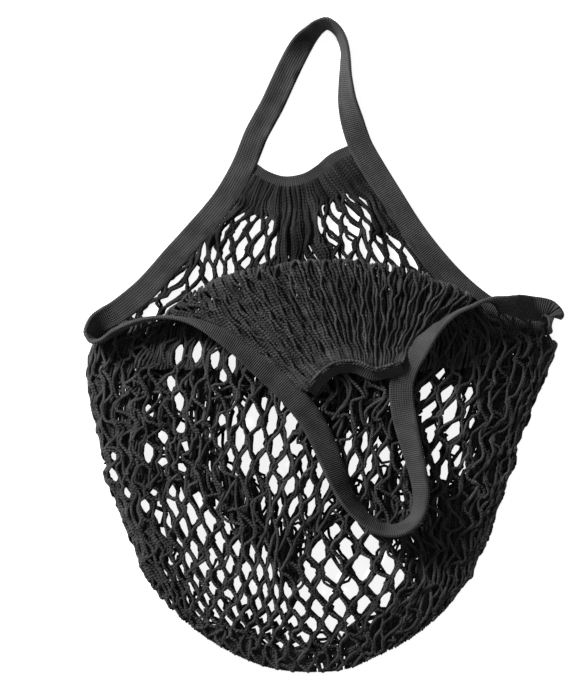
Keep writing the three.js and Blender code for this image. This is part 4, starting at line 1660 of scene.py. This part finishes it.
class CottonMaterials:
    """Builds the bag's materials and the node group of lint and fading that they share."""

    def __init__(self) -> None:
        """Builds the shared group once."""
        self.fading = self.fading_group()

    @staticmethod
    def fading_group() -> bpy.types.ShaderNodeTree:
        """Makes the group that fades and mottles a cotton colour.

        Returns:
            A group with Shade, Mottle and Patches inputs and Color and Fuzz outputs.
        """
        group = bpy.data.node_groups.new("cotton_fading", "ShaderNodeTree")
        group.interface.new_socket("Shade", in_out="INPUT", socket_type="NodeSocketFloat")
        group.interface.new_socket("Mottle", in_out="INPUT", socket_type="NodeSocketFloat")
        group.interface.new_socket("Patches", in_out="INPUT", socket_type="NodeSocketFloat")
        group.interface.new_socket("Color", in_out="OUTPUT", socket_type="NodeSocketColor")
        group.interface.new_socket("Fuzz", in_out="OUTPUT", socket_type="NodeSocketFloat")
        nodes, links = group.nodes, group.links
        inside = nodes.new("NodeGroupInput")
        outside = nodes.new("NodeGroupOutput")
        spot = nodes.new("ShaderNodeTexCoord")
        broad = nodes.new("ShaderNodeTexNoise")
        broad.inputs["Detail"].default_value = 3
        fine = nodes.new("ShaderNodeTexNoise")
        fine.inputs["Scale"].default_value = 1600
        fine.inputs["Detail"].default_value = 2
        for noise in (broad, fine):
            links.new(spot.outputs["Object"], noise.inputs["Vector"])
        links.new(inside.outputs["Patches"], broad.inputs["Scale"])
        swing = nodes.new("ShaderNodeMapRange")
        swing.inputs["From Min"].default_value = 0.3
        swing.inputs["From Max"].default_value = 0.7
        swing.inputs["To Min"].default_value = -1
        swing.inputs["To Max"].default_value = 1
        links.new(broad.outputs["Fac"], swing.inputs["Value"])
        scaled = nodes.new("ShaderNodeMath")
        scaled.operation = "MULTIPLY"
        links.new(swing.outputs["Result"], scaled.inputs[0])
        links.new(inside.outputs["Mottle"], scaled.inputs[1])
        gain = nodes.new("ShaderNodeMath")
        gain.operation = "ADD"
        gain.inputs[1].default_value = 1
        links.new(scaled.outputs["Value"], gain.inputs[0])
        shade = nodes.new("ShaderNodeMath")
        shade.operation = "MULTIPLY"
        links.new(gain.outputs["Value"], shade.inputs[0])
        links.new(inside.outputs["Shade"], shade.inputs[1])
        grey = nodes.new("ShaderNodeCombineColor")
        for channel in ("Red", "Green", "Blue"):
            links.new(shade.outputs["Value"], grey.inputs[channel])
        links.new(grey.outputs["Color"], outside.inputs["Color"])
        links.new(fine.outputs["Fac"], outside.inputs["Fuzz"])
        return group

    def base(self, finish: CottonFinish) -> tuple[bpy.types.Material, dict]:
        """Starts a cotton material with its constants set on the shader.

        Args:
            finish: The finish wanted.

        Returns:
            The material, and its shader, bump and fading nodes by name.
        """
        material = bpy.data.materials.new(finish.name)
        material.use_nodes = True
        nodes, links = material.node_tree.nodes, material.node_tree.links
        shader = nodes["Principled BSDF"]
        shader.inputs["Roughness"].default_value = finish.roughness
        shader.inputs["Sheen Weight"].default_value = finish.sheen
        shader.inputs["Sheen Roughness"].default_value = 0.5
        shader.inputs["Specular IOR Level"].default_value = 0.15
        fading = nodes.new("ShaderNodeGroup")
        fading.node_tree = self.fading
        fading.inputs["Shade"].default_value = finish.shade
        fading.inputs["Mottle"].default_value = finish.mottle
        fading.inputs["Patches"].default_value = finish.patches
        bump = nodes.new("ShaderNodeBump")
        bump.inputs["Strength"].default_value = finish.bump
        bump.inputs["Distance"].default_value = 0.0006
        links.new(fading.outputs["Color"], shader.inputs["Base Color"])
        links.new(bump.outputs["Normal"], shader.inputs["Normal"])
        return material, {"shader": shader, "bump": bump, "fading": fading}

    def tape(self) -> bpy.types.Material:
        """Makes the tape's cotton, knitted in fine wales along its length, with painted shade in
        its rib grooves and folds.

        Returns:
            The material.
        """
        material, kit = self.base(TAPE_COTTON)
        nodes, links = material.node_tree.nodes, material.node_tree.links
        uv = nodes.new("ShaderNodeUVMap")
        uv.uv_map = "UVMap"
        stitches = nodes.new("ShaderNodeTexWave")
        stitches.bands_direction = "Y"
        stitches.inputs["Scale"].default_value = 8
        stitches.inputs["Distortion"].default_value = 1.5
        stitches.inputs["Detail Scale"].default_value = 0.6
        links.new(uv.outputs["UV"], stitches.inputs["Vector"])
        # Painted shade: the rib grooves are darkened and the crests lightened in the tape's
        # colour.
        rib_painted_shade = nodes.new("ShaderNodeAttribute")
        rib_painted_shade.attribute_name = "rib_painted_shade"
        shade = nodes.new("ShaderNodeMapRange")
        shade.inputs["To Min"].default_value = TAPE_COTTON.shade * 0.5
        shade.inputs["To Max"].default_value = TAPE_COTTON.shade * 1.35
        links.new(rib_painted_shade.outputs["Fac"], shade.inputs["Value"])
        # Painted shade in the tape's folds and over the front handle's left leg, with a painted
        # highlight on raised lines.
        crease_painted_shade = nodes.new("ShaderNodeAttribute")
        crease_painted_shade.attribute_name = "crease_painted_shade"
        dimmed = nodes.new("ShaderNodeMapRange")
        dimmed.clamp = False
        dimmed.inputs["To Min"].default_value = 1
        dimmed.inputs["To Max"].default_value = 0.08
        links.new(crease_painted_shade.outputs["Fac"], dimmed.inputs["Value"])
        # The tape's colour with the painted shade of ribs and folds applied.
        painted_shade = nodes.new("ShaderNodeMath")
        painted_shade.operation = "MULTIPLY"
        links.new(shade.outputs["Result"], painted_shade.inputs[0])
        links.new(dimmed.outputs["Result"], painted_shade.inputs[1])
        links.new(painted_shade.outputs["Value"], kit["fading"].inputs["Shade"])
        mix = nodes.new("ShaderNodeMath")
        mix.operation = "ADD"
        links.new(stitches.outputs["Fac"], mix.inputs[0])
        links.new(kit["fading"].outputs["Fuzz"], mix.inputs[1])
        links.new(mix.outputs["Value"], kit["bump"].inputs["Height"])
        return material

    def net(self, finish: CottonFinish) -> bpy.types.Material:
        """Makes the strands' cotton, twisted round their own length.

        Args:
            finish: The finish wanted.

        Returns:
            The material.
        """
        material, kit = self.base(finish)
        nodes, links = material.node_tree.nodes, material.node_tree.links
        along = nodes.new("ShaderNodeAttribute")
        along.attribute_name = "along"
        girth = nodes.new("ShaderNodeAttribute")
        girth.attribute_name = "girth"
        tone = nodes.new("ShaderNodeAttribute")
        tone.attribute_name = "tone"
        pace = nodes.new("ShaderNodeMath")
        pace.operation = "MULTIPLY"
        pace.inputs[1].default_value = 2 * math.pi / 2.6
        links.new(along.outputs["Fac"], pace.inputs[0])
        wind = nodes.new("ShaderNodeMath")
        wind.operation = "MULTIPLY_ADD"
        wind.inputs[1].default_value = 2 * math.pi
        links.new(girth.outputs["Fac"], wind.inputs[0])
        links.new(pace.outputs["Value"], wind.inputs[2])
        ply = nodes.new("ShaderNodeMath")
        ply.operation = "SINE"
        links.new(wind.outputs["Value"], ply.inputs[0])
        height = nodes.new("ShaderNodeMath")
        height.operation = "ADD"
        links.new(ply.outputs["Value"], height.inputs[0])
        links.new(kit["fading"].outputs["Fuzz"], height.inputs[1])
        links.new(height.outputs["Value"], kit["bump"].inputs["Height"])
        shade = nodes.new("ShaderNodeMath")
        shade.operation = "MULTIPLY_ADD"
        shade.inputs[1].default_value = finish.shade * 0.8
        shade.inputs[2].default_value = finish.shade
        links.new(tone.outputs["Fac"], shade.inputs[0])
        links.new(shade.outputs["Value"], kit["fading"].inputs["Shade"])
        return material


@dataclass
class Studio:
    """A pale floor, soft light from above and a camera that looks straight down."""

    pixel: float = 0.8
    picture: tuple[int, int] = (569, 680)
    middle_pixel: tuple[float, float] = (324.0, 344.5)
    distance: float = 2200.0
    reference_height: float = 10.0

    def camera(self) -> bpy.types.Object:
        """Sets the camera so that a pixel covers the photograph's length on the bag.

        Returns:
            The camera.
        """
        width, height = self.picture
        lens = bpy.data.cameras.new("camera")
        lens.sensor_width = 36
        lens.lens = 36 * self.distance / (height * self.pixel)
        lens.clip_end = 10
        camera = bpy.data.objects.new("camera", lens)
        x = (width / 2 - self.middle_pixel[0]) * self.pixel + PLAN_SHIFT[0]
        y = (self.middle_pixel[1] - height / 2) * self.pixel + PLAN_SHIFT[1]
        camera.location = Vector((x, y, self.distance + self.reference_height)) * METRES
        bpy.context.scene.collection.objects.link(camera)
        bpy.context.scene.camera = camera
        return camera

    def floor(self) -> bpy.types.Object:
        """Lays the floor.

        Returns:
            The floor, which isn't part of the bag.
        """
        shape = bmesh.new()
        bmesh.ops.create_grid(shape, x_segments=1, y_segments=1, size=4.0)
        mesh = bpy.data.meshes.new("floor")
        shape.to_mesh(mesh)
        shape.free()
        floor = bpy.data.objects.new("floor", mesh)
        floor.location.z = -0.0002
        bpy.context.scene.collection.objects.link(floor)
        material = bpy.data.materials.new("floor_white")
        material.use_nodes = True
        shader = material.node_tree.nodes["Principled BSDF"]
        shader.inputs["Base Color"].default_value = (0.9, 0.9, 0.9, 1)
        shader.inputs["Roughness"].default_value = 0.9
        shader.inputs["Emission Color"].default_value = (1, 1, 1, 1)
        shader.inputs["Emission Strength"].default_value = 0.86
        mesh.materials.append(material)
        floor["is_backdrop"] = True
        return floor

    def lights(self) -> None:
        """Hangs a large soft light over the bag and fills the room with even light."""
        world = bpy.data.worlds.new("studio")
        bpy.context.scene.world = world
        world.use_nodes = True
        background = world.node_tree.nodes["Background"]
        background.inputs["Color"].default_value = (1, 1, 1, 1)
        background.inputs["Strength"].default_value = 0.2
        panel = bpy.data.lights.new("panel", "AREA")
        panel.energy = 62
        panel.size = 0.4
        hung = bpy.data.objects.new("panel", panel)
        hung.location = (-1.3, 1.0, 0.95)
        hung.rotation_euler = (-Vector(hung.location)).to_track_quat("-Z", "Y").to_euler()
        bpy.context.scene.collection.objects.link(hung)


def corners(low: Vector, high: Vector) -> list[list[float]]:
    """Turns a box into plain lists of numbers."""
    return [list(map(float, low)), list(map(float, high))]


def report(piece: bpy.types.Object) -> None:
    """Logs a piece's name and how many triangles it has."""
    triangles = sum(len(face.vertices) - 2 for face in piece.data.polygons)
    LOG.info("%s: %d triangles", piece.name, triangles)


def main() -> None:
    """Builds the studio and the bag's pieces in order."""
    logging.basicConfig(level=logging.INFO, format="%(name)s: %(message)s")
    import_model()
    frame_box = corners(*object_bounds())
    studio = Studio()
    bpy.context.scene.view_settings.view_transform = "Standard"
    studio.camera()
    studio.floor()
    studio.lights()

    layout = Layout()
    tape = RimTape(layout=layout)
    back_band = GatherBand(name="back_gather_knit", layout=layout)
    front_band = GatherBand(
        name="front_gather_knit", node="front_gather_band", rows=FRONT_BAND_ROWS,
        free_side=-1.0, on_front=True, tilt=38.0, layout=layout,
        cut=Cut(0.0105, 0.082, Held.LAID),
    )
    cotton = CottonMaterials()
    tape_cotton = cotton.tape()
    net_cotton, slack_cotton = cotton.net(NET_COTTON), cotton.net(SLACK_COTTON)
    # The inner cotton is painted shade: a darker copy of the same cotton.
    inner_painted_shade_cotton = cotton.net(INNER_PAINTED_SHADE_COTTON)
    for band in (tape, back_band, front_band):
        piece = band.make()
        piece.data.materials.append(tape_cotton)
        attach(piece, "root")
        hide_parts(band.node)
        band.cut.declare(piece)
        report(piece)

    plan = NetPlan(layout, tape, back_band, front_band)
    for net, node, look in (
        (BackNet(plan=plan), "back_net", inner_painted_shade_cotton),
        (TuckedNet(plan=plan), "back_net", slack_cotton),
        (CrossNet(plan=plan), "back_net", slack_cotton),
        (YokeNet(plan=plan), "back_net", inner_painted_shade_cotton),
        (FrontNet(plan=plan), "front_net", net_cotton),
        (FlapLining(plan=plan), "front_net", slack_cotton),
    ):
        piece = net.make()
        piece.data.materials.append(look)
        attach(piece, "root")
        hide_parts(node)
        net.cut.declare(piece)
        report(piece)

    {"frame": frame_box, "visual": corners(*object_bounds())}


if __name__ == "__main__":
    main()
